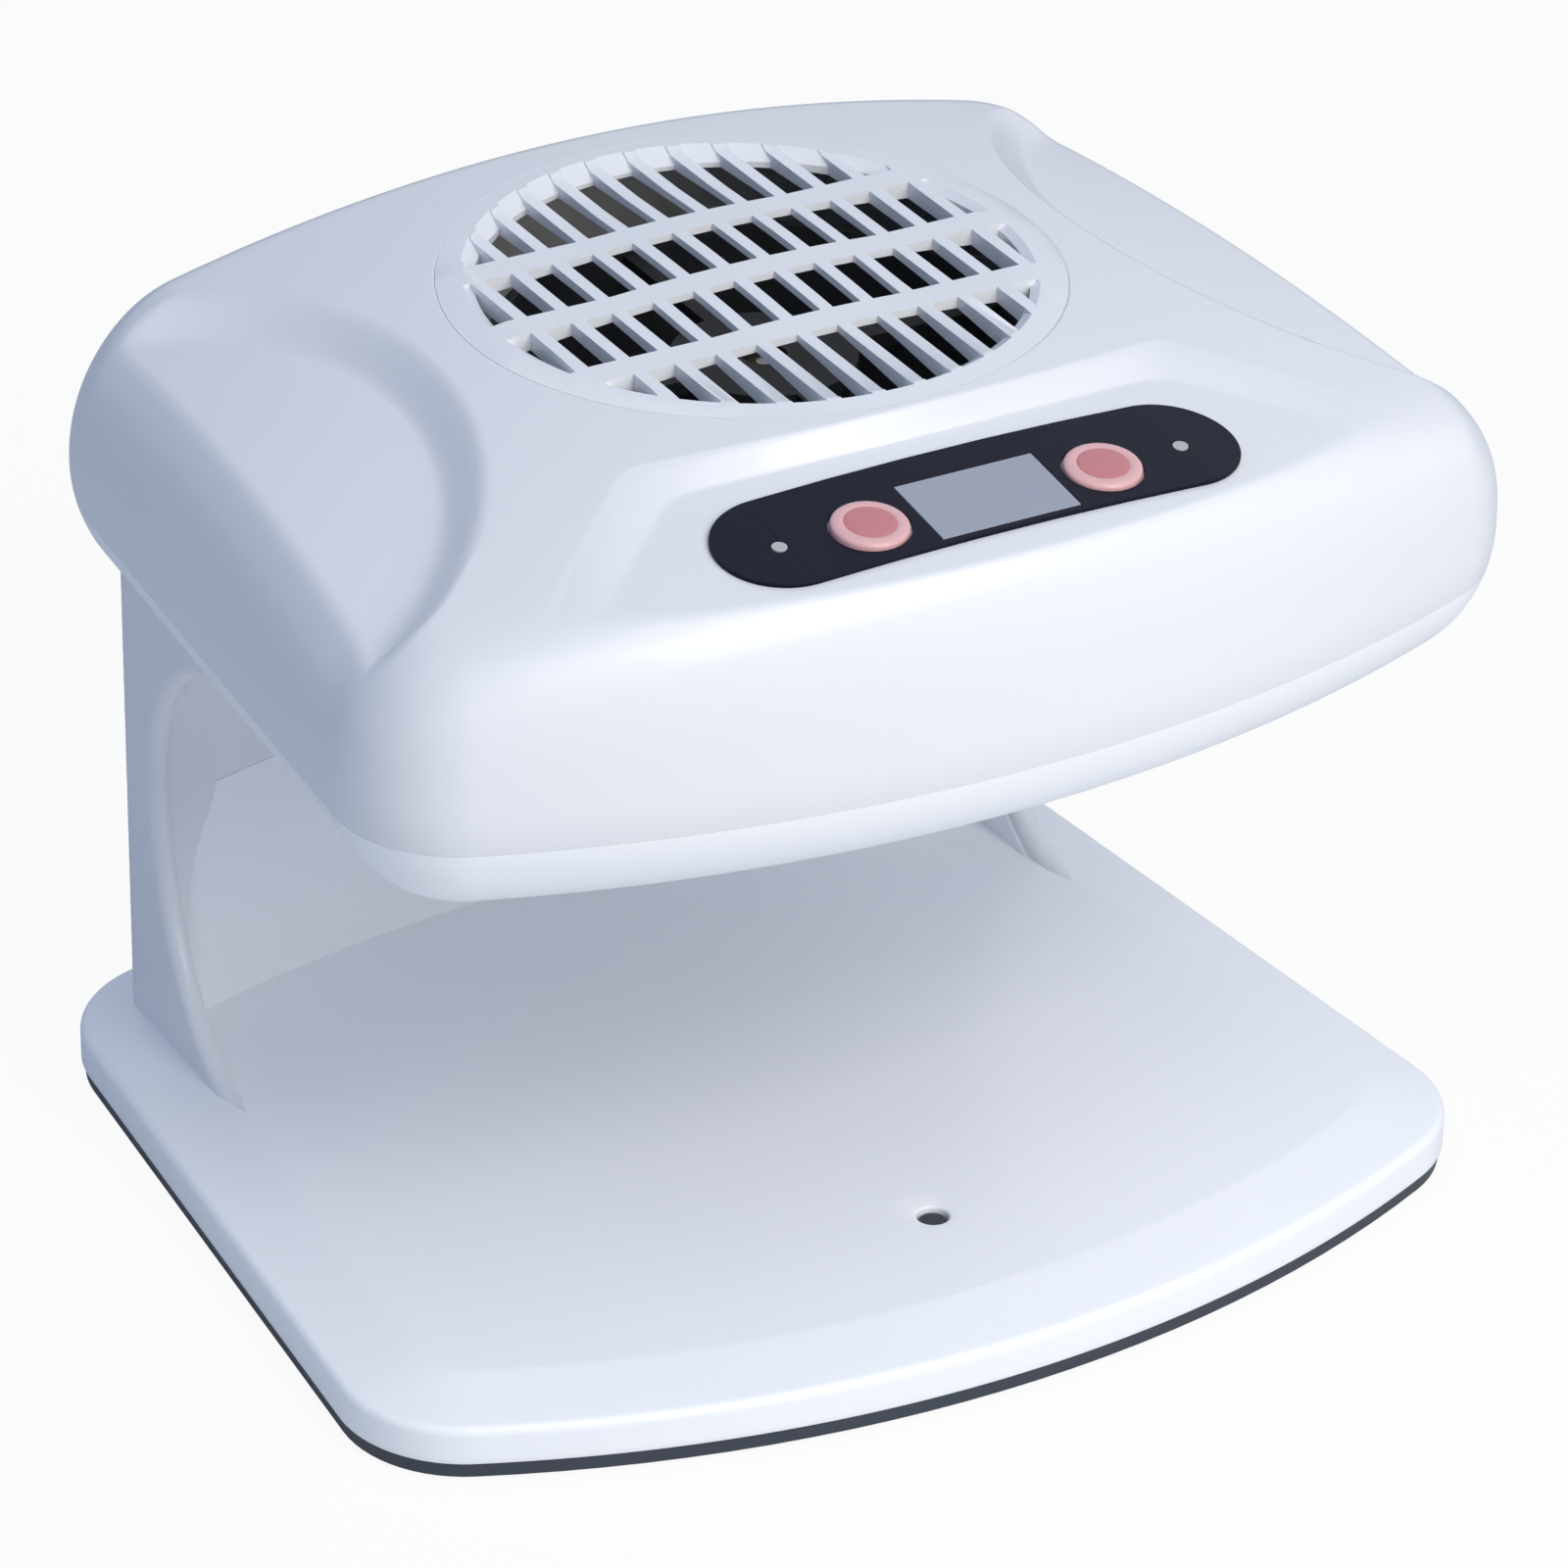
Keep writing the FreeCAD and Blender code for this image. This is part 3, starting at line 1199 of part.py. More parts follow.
for end_name, side_name, foot_x, foot_y in FEET:
    foot = new_body(f"foot_{end_name}_{side_name}",
                    (f"{foot_x / size('foot_side'):.0f} * Sizes.foot_side",
                     f"Sizes.foot_{end_name}", "0"))
    foot_sketch = new_sketch(foot, "foot_outline")
    add_circle(foot_sketch, "Sizes.foot_radius")
    pad(foot, foot_sketch, "Sizes.plate_bottom + Sizes.foot_seat", "pad_block")

# ---------------------------------------------------------------- struts, boards and leads

for side_name, side_sign in SIDES:
    strut = primitive("Box", f"strut_block_{side_name}", {
        "Length": "Sizes.strut_wide", "Width": "Sizes.strut_thick",
        "Height": "Sizes.strut_top - Sizes.plate_top",
        "Placement.Base.x": f"{side_sign} * (Sizes.column_half_rear - Sizes.strut_inset)"
                            " - Sizes.strut_wide / 2",
        "Placement.Base.y": "Sizes.column_rear - Sizes.column_bow - Sizes.wall"
                            " - Sizes.joint_gap - Sizes.strut_thick",
        "Placement.Base.z": "Sizes.plate_top"})
    node(strut, f"column_strut_{side_name}")

power = primitive("Box", "power_block", {
    "Length": "Sizes.board_thick", "Width": "Sizes.power_long", "Height": "Sizes.power_high",
    "Placement.Base.x": "-Sizes.power_side", "Placement.Base.y": "Sizes.power_front",
    "Placement.Base.z": "Sizes.head_bottom + Sizes.wall"})
node(power, "power_board")

# Name, depth off the board, length along it, height, place along it, level above its foot
COMPONENTS = (
    ("transformer", 14.0, 30.0, 26.0, 8.0, 8.0),
    ("relay", 11.0, 19.0, 15.0, 46.0, 22.0),
    ("terminal_block", 10.0, 22.0, 9.0, 52.0, 4.0),
)
for part_name, deep, long, high, along, raised in COMPONENTS:
    item = primitive("Box", f"{part_name}_block", {
        "Length": f"{deep}", "Width": f"{long}", "Height": f"{high}",
        "Placement.Base.x": f"-Sizes.power_side - {deep}",
        "Placement.Base.y": f"Sizes.power_front + {along}",
        "Placement.Base.z": f"Sizes.head_bottom + Sizes.wall + {raised}"})
    node(item, part_name)

eye_board = primitive("Box", "eye_board_block", {
    "Length": "20", "Width": "16", "Height": "Sizes.board_thick",
    "Placement.Base.x": "Sizes.eye_side - 10", "Placement.Base.y": "Sizes.eye_front - 8",
    "Placement.Base.z": "Sizes.plate_top + 0.3"})
node(eye_board, "sensor_board")

eye_lens = primitive("Cylinder", "eye_lens_block", {
    "Radius": "Sizes.eye_lens",
    "Height": "Sizes.base_top - 1 - (Sizes.plate_top + 0.3 + Sizes.board_thick)",
    "Placement.Base.x": "Sizes.eye_side",
    "Placement.Base.y": "Sizes.eye_front",
    "Placement.Base.z": "Sizes.plate_top + 0.3 + Sizes.board_thick"})
node(eye_lens, "sensor_eye")

ray_board = primitive("Box", "ray_board_block", {
    "Length": "20", "Width": "16", "Height": "Sizes.board_thick",
    "Placement.Base.x": "Sizes.eye_side - 10", "Placement.Base.y": "Sizes.eye_front - 8",
    "Placement.Base.z": "Sizes.head_bottom + Sizes.wall + 4"})
node(ray_board, "emitter_board")

ray_lens = primitive("Cylinder", "ray_lens_block", {
    "Radius": "Sizes.eye_lens", "Height": "Sizes.wall + 4 - 0.4",
    "Placement.Base.x": "Sizes.eye_side",
    "Placement.Base.y": "Sizes.eye_front", "Placement.Base.z": "Sizes.head_bottom + 0.4"})
node(ray_lens, "emitter_lens")


def column_rear_at(across):
    """Outer face of the column's bowed rear wall at a distance from the centre line."""
    return size("column_rear") - size("column_bow") * (across / size("column_half_rear")) ** 2


def cord_gland():
    """Bush with a flange outside the rear wall and a collar inside it."""
    x = size("gland_side")
    z = size("gland_level")
    bore = size("gland_bore")
    rear = column_rear_at(x)

    def disc(radius, start, length):
        return Part.makeCylinder(radius, length, Vector(x, start, z), REARWARD)

    neck = disc(bore + 3.0, rear - 4.0, 5.0)
    flange = disc(bore + 4.5, rear + size("joint_gap"), 1.6)
    collar = disc(bore + 4.2, rear - 5.0, 1.5)
    return merge([neck, flange, collar]).cut(disc(bore, rear - FAR / 4, FAR / 2))


feature("cord_gland", cord_gland())


def sensor_lead():
    """Lead from the base's sensor to the head, up the hollow column."""
    radius = size("lead_radius")
    level = size("plate_top") + 0.3 + size("board_thick") + radius
    rear = lead_rear()
    bend = 6.0
    start = Vector(0, size("eye_front") + 6.0, level)
    low = Vector(0, rear - bend, level)
    mid = Vector(0, rear - bend * (1 - math.sin(math.radians(45))),
                 level + bend * (1 - math.cos(math.radians(45))))
    high = Vector(0, rear, level + bend)
    end = Vector(0, rear, size("head_seam") - 4.0)
    path = Part.Wire([Part.LineSegment(start, low).toShape(), Part.Arc(low, mid, high).toShape(),
                      Part.LineSegment(high, end).toShape()])
    ring = Part.Wire([Part.Circle(start, REARWARD, radius).toShape()])
    return path.makePipeShell([ring], True, False)


feature("sensor_lead", sensor_lead())


def screws(points, head_level, length, label):
    """Identical screws driven upwards, one solid each, under a shared name."""
    solids = []
    for x, y in points:
        head = cylinder(size("screw_head"), head_level, head_level + size("screw_head_high"), x, y)
        shank = cylinder(size("screw_radius"), head_level, head_level + length, x, y)
        solids.append(merge([head, shank]))
    return feature(label, Part.makeCompound(solids))


screws(HEAD_SCREWS, size("head_bottom") + 8 - size("screw_head_high"), 20.0, "head_screws")
screws(BASE_SCREWS, size("plate_bottom"), 8.5, "base_screws")

# ---------------------------------------------------------------- checks and export

DOC.recompute()
failures = [item.Label for item in DOC.Objects
            if "Invalid" in item.State or "Error" in item.State]
if failures:
    raise RuntimeError(f"failed objects: {failures}")

os.makedirs("parts", exist_ok=True)
for item in NODES:
    shape = item.Shape
    if shape.isNull() or not shape.isValid() or shape.Volume <= 0:
        raise RuntimeError(f"bad shape: {item.Label}")
    shape.exportStep(os.path.join("parts", f"{item.Label}.step"))
    box = shape.BoundBox
    print(f"{item.Label:22s} solids {len(shape.Solids):2d} volume {shape.Volume:10.1f} "
          f"x {box.XMin:7.1f} {box.XMax:7.1f} y {box.YMin:7.1f} {box.YMax:7.1f} "
          f"z {box.ZMin:6.1f} {box.ZMax:6.1f}")
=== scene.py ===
"""Table-top fan dryer for nail polish: the looks of its shells, panel, grilles and base.

Lengths in the dataclasses are millimetres; meshes are written in metres in the shared frame,
where +X is to the right of a seated person, +Y to the rear column and +Z up.
"""

import logging
import math
from dataclasses import dataclass, field
from enum import Enum
from typing import Callable, ClassVar, Optional, Sequence

import bmesh
import bpy
import numpy as np
from mathutils import Matrix, Vector

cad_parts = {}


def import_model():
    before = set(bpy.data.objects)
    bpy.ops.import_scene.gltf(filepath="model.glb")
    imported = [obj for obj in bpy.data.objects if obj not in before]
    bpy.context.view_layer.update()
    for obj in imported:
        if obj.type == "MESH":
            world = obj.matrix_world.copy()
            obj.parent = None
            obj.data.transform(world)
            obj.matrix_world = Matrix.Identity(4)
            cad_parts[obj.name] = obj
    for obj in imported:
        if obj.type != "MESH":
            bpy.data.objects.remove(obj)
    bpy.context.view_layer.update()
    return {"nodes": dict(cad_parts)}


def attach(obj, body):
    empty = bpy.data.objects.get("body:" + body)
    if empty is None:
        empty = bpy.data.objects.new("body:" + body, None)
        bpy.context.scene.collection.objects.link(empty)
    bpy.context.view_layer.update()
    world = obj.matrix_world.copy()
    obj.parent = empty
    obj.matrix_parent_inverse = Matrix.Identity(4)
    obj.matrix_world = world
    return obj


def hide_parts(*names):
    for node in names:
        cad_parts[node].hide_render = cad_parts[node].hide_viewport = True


LOG = logging.getLogger("dryer")
Array = np.ndarray
Color = tuple[float, float, float]
Place = tuple[float, float, float]
Steps = tuple[tuple[float, float], ...]
MM = 0.001          # metres in a millimetre
TINY = 1e-9         # keeps a division away from zero
SHARP_WALLS = 40.0  # angle in degrees over which the edges of thin walls and caps stay sharp


# ---------------------------------------------------------------- finishes


class Grain(Enum):
    """Kind of fine relief that a finish carries."""

    POLISHED = "polished"
    SATIN = "satin"
    FILM = "film"
    SOFT = "soft"
    BRUSHED = "brushed"


@dataclass(frozen=True)
class Finish:
    """One surface finish, from which a procedural material is made."""

    name: str
    slot: str
    color: Color
    shade: Color
    roughness: float
    grain: Grain
    metallic: float = 0.0
    coat: float = 0.0
    bump: float = 0.02
    specular: float = 0.5


@dataclass(frozen=True)
class GrainSpec:
    """Size and spread of the relief and tone of one grain."""

    scale: float
    detail: float
    rough_spread: float
    stretch: Place = (1.0, 1.0, 1.0)


GRAINS: dict[Grain, GrainSpec] = {
    Grain.POLISHED: GrainSpec(90.0, 3.0, 0.02),
    Grain.SATIN: GrainSpec(1400.0, 2.0, 0.10),
    Grain.FILM: GrainSpec(500.0, 2.0, 0.05),
    Grain.SOFT: GrainSpec(900.0, 4.0, 0.12),
    Grain.BRUSHED: GrainSpec(300.0, 3.0, 0.12, (1.0, 1.0, 14.0)),
}

SHELL = Finish("shell_abs", "shell", (0.758, 0.772, 0.822), (0.750, 0.764, 0.815), 0.30,
               Grain.POLISHED, coat=0.12, bump=0.01, specular=0.40)
# Painted light: the shell's white made brighter for the base and the head's lower shell, which lie
# in shade under the head.
SHELL_PAINTED_LIGHT = Finish("shell_abs_painted_light", "shell_light", (0.900, 0.915, 0.962), (0.893, 0.908, 0.956), 0.34,
                     Grain.POLISHED, coat=0.10, bump=0.01, specular=0.40)
# Painted light: the shell's white made a little brighter for the column's inner wall, which lies in
# shade under the head.
LINING_PAINTED_LIGHT = Finish("lining_abs_painted_light", "shell_light", (0.790, 0.806, 0.860), (0.782, 0.798, 0.852), 0.34,
                Grain.POLISHED, coat=0.10, bump=0.01, specular=0.40)
GRILLE = Finish("grille_abs", "grille", (0.775, 0.790, 0.840), (0.767, 0.782, 0.833), 0.32,
                Grain.POLISHED, coat=0.12, bump=0.01, specular=0.40)
DARK = Finish("dark_moulding", "dark_plastic", (0.010, 0.012, 0.016), (0.016, 0.018, 0.024), 0.55,
              Grain.SATIN, bump=0.08)
PLATE = Finish("plate_moulding", "plate", (0.036, 0.046, 0.068), (0.028, 0.036, 0.054), 0.48,
               Grain.SATIN, bump=0.08)
OVERLAY = Finish("printed_film", "overlay", (0.004, 0.006, 0.018), (0.006, 0.008, 0.022), 0.34,
                 Grain.FILM, specular=0.08)
WINDOW = Finish("display_window", "window", (0.33, 0.355, 0.43), (0.31, 0.335, 0.41), 0.28,
                Grain.FILM, bump=0.0, specular=0.25)
# Painted light: the rim's pink is made paler than the middle's, in place of the light that the
# cap's rounded rim catches.
BUTTON_RIM_PAINTED_LIGHT = Finish("button_rim_painted_light", "button", (0.74, 0.43, 0.45), (0.71, 0.40, 0.42), 0.32,
                    Grain.POLISHED, coat=0.15, specular=0.35)
BUTTON_CORE = Finish("button_core", "button", (0.56, 0.20, 0.225), (0.51, 0.175, 0.20), 0.36,
                     Grain.POLISHED, coat=0.15, specular=0.35)
BOARD = Finish("board_laminate", "board", (0.010, 0.075, 0.030), (0.016, 0.095, 0.040), 0.40,
               Grain.FILM, coat=0.2)
COMPONENT = Finish("component_moulding", "component", (0.014, 0.014, 0.015), (0.022, 0.022, 0.024),
                   0.50, Grain.SATIN)
STEEL = Finish("plated_steel", "steel", (0.52, 0.53, 0.55), (0.46, 0.47, 0.50), 0.30, Grain.BRUSHED,
               metallic=1.0)
BRASS = Finish("sintered_bronze", "brass", (0.50, 0.34, 0.13), (0.42, 0.28, 0.10), 0.38,
               Grain.SATIN, metallic=1.0)
WIRE = Finish("heater_alloy", "heater_wire", (0.30, 0.27, 0.24), (0.24, 0.20, 0.18), 0.42,
              Grain.BRUSHED, metallic=1.0)
MICA = Finish("mica_sheet", "mica", (0.40, 0.34, 0.22), (0.33, 0.27, 0.17), 0.35, Grain.SOFT)
LENS = Finish("lens_clear", "lamp", (0.42, 0.44, 0.46), (0.36, 0.38, 0.40), 0.10, Grain.FILM,
              coat=0.6)
LENS_DARK = Finish("lens_dark", "lamp", (0.012, 0.010, 0.012), (0.018, 0.014, 0.018), 0.10,
                   Grain.FILM, coat=0.8)
RUBBER = Finish("foot_rubber", "rubber", (0.016, 0.016, 0.017), (0.024, 0.024, 0.026), 0.72,
                Grain.SOFT, bump=0.15)
LEAD = Finish("lead_sleeve", "lead", (0.018, 0.018, 0.020), (0.026, 0.026, 0.028), 0.55, Grain.SOFT)


@dataclass
class MaterialShop:
    """Makes each finish once and hands it out.

    The cloud is the slow change of tone, in cells per metre and octaves of finer noise.
    """

    cloud_scale: float = 14.0
    cloud_detail: float = 2.0
    coat_roughness: float = 0.09
    least_roughness: float = 0.03
    relief_depth: float = 0.2
    made: dict[str, bpy.types.Material] = field(default_factory=dict)

    def get(self, finish: Finish) -> bpy.types.Material:
        """Material of a finish.

        Args:
            finish: the finish wanted.

        Returns:
            Its material, made at the first call.
        """
        if finish.name not in self.made:
            self.made[finish.name] = self.make(finish)
        return self.made[finish.name]

    def make(self, finish: Finish) -> bpy.types.Material:
        """Principled material whose tone, gloss and relief vary with noise over the object.

        Args:
            finish: colours, gloss and grain.

        Returns:
            The new material.
        """
        spec = GRAINS[finish.grain]
        material = bpy.data.materials.new(finish.name)
        material.use_nodes = True
        tree = material.node_tree
        nodes, links = tree.nodes, tree.links
        shader = nodes["Principled BSDF"]
        shader.inputs["Metallic"].default_value = finish.metallic
        shader.inputs["Coat Weight"].default_value = finish.coat
        shader.inputs["Coat Roughness"].default_value = self.coat_roughness
        shader.inputs["Specular IOR Level"].default_value = finish.specular
        where = nodes.new("ShaderNodeTexCoord")
        turn = nodes.new("ShaderNodeMapping")
        turn.inputs["Scale"].default_value = spec.stretch
        links.new(where.outputs["Object"], turn.inputs["Vector"])
        cloud = self.noise(tree, turn, self.cloud_scale, self.cloud_detail)
        tone = nodes.new("ShaderNodeMix")
        tone.data_type = "RGBA"
        tone.inputs["A"].default_value = (*finish.color, 1.0)
        tone.inputs["B"].default_value = (*finish.shade, 1.0)
        links.new(cloud.outputs["Fac"], tone.inputs["Factor"])
        links.new(tone.outputs["Result"], shader.inputs["Base Color"])
        fine = self.noise(tree, turn, spec.scale, spec.detail)
        gloss = nodes.new("ShaderNodeMapRange")
        least = finish.roughness - spec.rough_spread / 2
        gloss.inputs["To Min"].default_value = max(least, self.least_roughness)
        gloss.inputs["To Max"].default_value = finish.roughness + spec.rough_spread / 2
        links.new(fine.outputs["Fac"], gloss.inputs["Value"])
        links.new(gloss.outputs["Result"], shader.inputs["Roughness"])
        relief = nodes.new("ShaderNodeBump")
        relief.inputs["Strength"].default_value = finish.bump
        relief.inputs["Distance"].default_value = self.relief_depth * MM
        links.new(fine.outputs["Fac"], relief.inputs["Height"])
        links.new(relief.outputs["Normal"], shader.inputs["Normal"])
        return material

    @staticmethod
    def noise(tree: bpy.types.NodeTree, vector: bpy.types.Node, scale: float,
              detail: float) -> bpy.types.Node:
        """Noise texture over the object's own coordinates.

        Args:
            tree: node tree to add it to.
            vector: node that gives the coordinates.
            scale: cells per metre.
            detail: octaves of finer noise.

        Returns:
            The noise node.
        """
        cloud = tree.nodes.new("ShaderNodeTexNoise")
        cloud.inputs["Scale"].default_value = scale
        cloud.inputs["Detail"].default_value = detail
        tree.links.new(vector.outputs["Vector"], cloud.inputs["Vector"])
        return cloud


SHOP = MaterialShop()


# ---------------------------------------------------------------- numbers and shapes


def smooth_step(part: Array) -> Array:
    """Smooth step from 0 to 1: 3t² − 2t³ of the part held between 0 and 1."""
    held = np.clip(part, 0.0, 1.0)
    return held * held * (3.0 - 2.0 * held)


def soft_min(a: Array, b: Array, width: float | Array) -> Array:
    """Lesser of two heights, rounded where they cross.

    Formula: min(a, b) less a parabola h²·width/4, where h falls from 1 at the crossing to 0
    where the heights differ by the width.

    Args:
        a: first heights.
        b: second heights.
        width: difference over which they are blended.

    Returns:
        The blended heights.
    """
    near = np.clip(1.0 - np.abs(a - b) / width, 0.0, 1.0)
    return np.minimum(a, b) - near * near * width / 4.0


def arc(centre: Array, radius: float, low: float, high: float, count: int) -> tuple[Array, Array]:
    """Evenly spaced points of an arc and their normals, without the last one.

    Args:
        centre: x and y of its centre.
        radius: its radius.
        low: angle at which it starts.
        high: angle at which it ends.
        count: number of points.

    Returns:
        Points and unit normals, one row each.
    """
    turn = np.linspace(low, high, count, endpoint=False)
    way = np.stack([np.cos(turn), np.sin(turn)], 1)
    return centre + radius * way, way


def directions(points: Array, centre: Sequence[float]) -> Array:
    """Unit vectors in plan from a centre to each point."""
    way = points[:, :2] - np.array(centre)
    return way / np.linalg.norm(way, axis=1, keepdims=True)


def at_level(plan: Array, level: float) -> Array:
    """Plan points raised to one level."""
    return np.concatenate([plan, np.full(plan.shape[:-1] + (1,), level)], -1)


def rows_between(outer: Array, inner: Array, count: int) -> Array:
    """Rows that run straight in plan from one ring to another, without the first.

    Formula: outer·(1 − t) + inner·t at even steps t from 0 to 1.

    Args:
        outer: plan points of the ring that they leave.
        inner: plan points of the ring that they reach.
        count: number of rows, the first one included.

    Returns:
        Grid of plan points.
    """
    part = np.linspace(0.0, 1.0, count)[1:, None, None]
    return outer[None] * (1.0 - part) + inner[None] * part


@dataclass(frozen=True)
class Bore:
    """Hole round an axis that runs from front to rear, behind the plane at y = behind."""

    across: float
    level: float
    behind: float
    radius: float


@dataclass(frozen=True)
class PlanOutline:
    """Rounded trapezoid with a bowed front and rear, from which exact insets are drawn.

    The halves are half widths where the front and the rear end, front and rear are their middles'
    y, and the bows are how far those stand out. The corners are radii. The counts are points on
    the front, front corner, side, rear corner and rear of one half.
    """

    half_front: float
    half_rear: float
    front: float
    front_bow: float
    rear: float
    rear_bow: float
    corner_front: float
    corner_rear: float
    counts: tuple[int, int, int, int, int] = (70, 40, 60, 40, 60)

    def hub(self, start: Array, out: Array, along: Array, corner: float, level: float,
            radius: float, way: int) -> Array:
        """Centre of a corner's arc, as far from the side as from the bowed end.

        Formula: the foot of the side moved in by the corner's radius, then slid along the side
        until its distance from the end's centre is the end's radius less the corner's.

        Args:
            start: point of the side.
            out: outward normal of the side.
            along: direction of the side, to the rear.
            corner: radius of the corner.
            level: y of the bowed end's centre.
            radius: radius of the bowed end.
            way: −1 for the front, 1 for the rear.

        Returns:
            The centre.
        """
        foot = start - out * corner
        to_foot = foot - np.array([0.0, level])
        half = float(to_foot @ along)
        rest = float(to_foot @ to_foot) - (radius - corner) ** 2
        return foot + along * (-half + way * math.sqrt(half * half - rest))

    def right_half(self) -> tuple[Array, Array]:
        """Points and outward normals from the middle of the front to the middle of the rear.

        Formula: arcs of the bowed front, front corner, straight side, rear corner and bowed rear,
        each sampled evenly; the normals are the arcs' radial directions.

        Returns:
            Points and unit normals, one row each.
        """
        start = np.array([self.half_front, self.front + self.front_bow])
        end = np.array([self.half_rear, self.rear - self.rear_bow])
        r_front = (self.half_front ** 2 + self.front_bow ** 2) / (2 * self.front_bow)
        r_rear = (self.half_rear ** 2 + self.rear_bow ** 2) / (2 * self.rear_bow)
        y_front, y_rear = self.front + r_front, self.rear - r_rear
        along = (end - start) / np.linalg.norm(end - start)
        out = np.array([along[1], -along[0]])
        hub_f = self.hub(start, out, along, self.corner_front, y_front, r_front, -1)
        hub_r = self.hub(start, out, along, self.corner_rear, y_rear, r_rear, 1)
        side = math.atan2(out[1], out[0])
        turn_f = math.atan2(hub_f[1] - y_front, hub_f[0])
        turn_r = math.atan2(hub_r[1] - y_rear, hub_r[0])
        n = self.counts
        part = np.linspace(0.0, 1.0, n[2], endpoint=False)[:, None]
        foot_f, foot_r = hub_f + out * self.corner_front, hub_r + out * self.corner_rear
        pieces = [
            arc(np.array([0.0, y_front]), r_front, -math.pi / 2, turn_f, n[0]),
            arc(hub_f, self.corner_front, turn_f, side, n[1]),
            (foot_f + (foot_r - foot_f) * part, np.repeat(out[None], n[2], 0)),
            arc(hub_r, self.corner_rear, side, turn_r, n[3]),
            arc(np.array([0.0, y_rear]), r_rear, turn_r, math.pi / 2, n[4]),
            (np.array([[0.0, self.rear]]), np.array([[0.0, 1.0]])),
        ]
        return np.concatenate([p for p, _ in pieces]), np.concatenate([w for _, w in pieces])

    def ring(self) -> tuple[Array, Array]:
        """Whole outline, counter-clockwise seen from above, from the middle of the front.

        Formula: the right half, then its mirror image in reverse without the two shared points.

        Returns:
            Points and unit outward normals.
        """
        points, normals = self.right_half()
        flip = np.array([-1.0, 1.0])
        return (np.concatenate([points, points[-2:0:-1] * flip]),
                np.concatenate([normals, normals[-2:0:-1] * flip]))


@dataclass
class MeshMaker:
    """Gathers grids of points into one mesh.

    Edges stay sharp over the angle `sharp`, in degrees, and points within `weld` are merged.
    """

    name: str
    sharp: float = 32.0
    weld: float = 0.002
    points: list[Array] = field(default_factory=list)
    faces: list[Array] = field(default_factory=list)
    marks: list[Array] = field(default_factory=list)
    count: int = 0

    def grid(self, points: Array, closed: bool = False, flip: bool = False, mark: int = 0) -> None:
        """Add a grid of quads.

        Formula: the point of row i and column j is joined with its neighbours at i + 1 and j + 1;
        a closed grid joins the last column with the first.

        Args:
            points: rows × columns × 3, in millimetres.
            closed: whether the columns run round.
            flip: whether to turn the faces over.
            mark: index of the faces' material.
        """
        rows, columns = points.shape[:2]
        index = np.arange(rows * columns).reshape(rows, columns) + self.count
        if closed:
            index = np.concatenate([index, index[:, :1]], 1)
        a, b, c, d = index[:-1, :-1], index[:-1, 1:], index[1:, 1:], index[1:, :-1]
        order = (a, d, c, b) if flip else (a, b, c, d)
        quads = np.stack(order, -1).reshape(-1, 4)
        self.points.append(points.reshape(-1, 3))
        self.faces.append(quads)
        self.marks.append(np.full(len(quads), mark, np.int32))
        self.count += rows * columns

    def pierce(self, bore: Bore) -> None:
        """Leave out the faces in a bore.

        Formula: a face goes when its middle lies within the radius of the axis and behind the
        plane.

        Args:
            bore: the hole.
        """
        points = np.concatenate(self.points)
        faces = np.concatenate(self.faces)
        middle = points[faces].mean(1)
        away = np.hypot(middle[:, 0] - bore.across, middle[:, 2] - bore.level)
        keep = (away > bore.radius) | (middle[:, 1] < bore.behind)
        self.faces = [faces[keep]]
        self.marks = [np.concatenate(self.marks)[keep]]

    def build(self, *finishes: Finish) -> bpy.types.Object:
        """Make the mesh object.

        Args:
            *finishes: materials by index.

        Returns:
            The new object, at the origin.
        """
        mesh = bpy.data.meshes.new(self.name)
        points = np.concatenate(self.points) * MM
        faces = np.concatenate(self.faces)
        mesh.vertices.add(len(points))
        mesh.vertices.foreach_set("co", points.astype(np.float32).ravel())
        mesh.loops.add(faces.size)
        mesh.loops.foreach_set("vertex_index", faces.astype(np.int32).ravel())
        mesh.polygons.add(len(faces))
        mesh.polygons.foreach_set("loop_start", np.arange(0, faces.size, 4, dtype=np.int32))
        for finish in finishes:
            mesh.materials.append(SHOP.get(finish))
        mesh.polygons.foreach_set("material_index", np.concatenate(self.marks))
        mesh.update(calc_edges=True)
        mesh.validate()
        work = bmesh.new()
        work.from_mesh(mesh)
        bmesh.ops.remove_doubles(work, verts=work.verts, dist=self.weld * MM)
        bmesh.ops.dissolve_degenerate(work, edges=work.edges, dist=self.weld * MM / 4)
        work.to_mesh(mesh)
        work.free()
        mesh.polygons.foreach_set("use_smooth", np.ones(len(mesh.polygons), bool))
        mesh.set_sharp_from_angle(angle=math.radians(self.sharp))
        item = bpy.data.objects.new(self.name, mesh)
        bpy.context.scene.collection.objects.link(item)
        return item


def lathe(profile: Array, centre: tuple[float, float], count: int) -> Array:
    """Grid turned round an upright axis.

    Formula: each profile point (radius, height) becomes a circle of that radius at that height.

    Args:
        profile: rows of radius and height, in millimetres.
        centre: x and y of the axis.
        count: points round.

    Returns:
        Grid of rows × count × 3, whose columns run round counter-clockwise.
    """
    turn = np.linspace(0.0, 2 * math.pi, count, endpoint=False)
    x = centre[0] + profile[:, :1] * np.cos(turn)
    y = centre[1] + profile[:, :1] * np.sin(turn)
    z = np.repeat(profile[:, 1:], count, 1)
    return np.stack([x, y, z], -1)


def dress(piece: bpy.types.Object, body: str, slot: str, *nodes: str) -> None:
    """Hang a finished piece on its body and hide the CAD nodes that it stands for.

    Args:
        piece: the finished object.
        body: body that it rides on.
        slot: record's material slot; not used.
        *nodes: CAD nodes that it replaces.
    """
    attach(piece, body)
    if nodes:
        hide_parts(*nodes)
    LOG.info("%s on %s, %d faces", piece.name, body, len(piece.data.polygons))


# ---------------------------------------------------------------- head


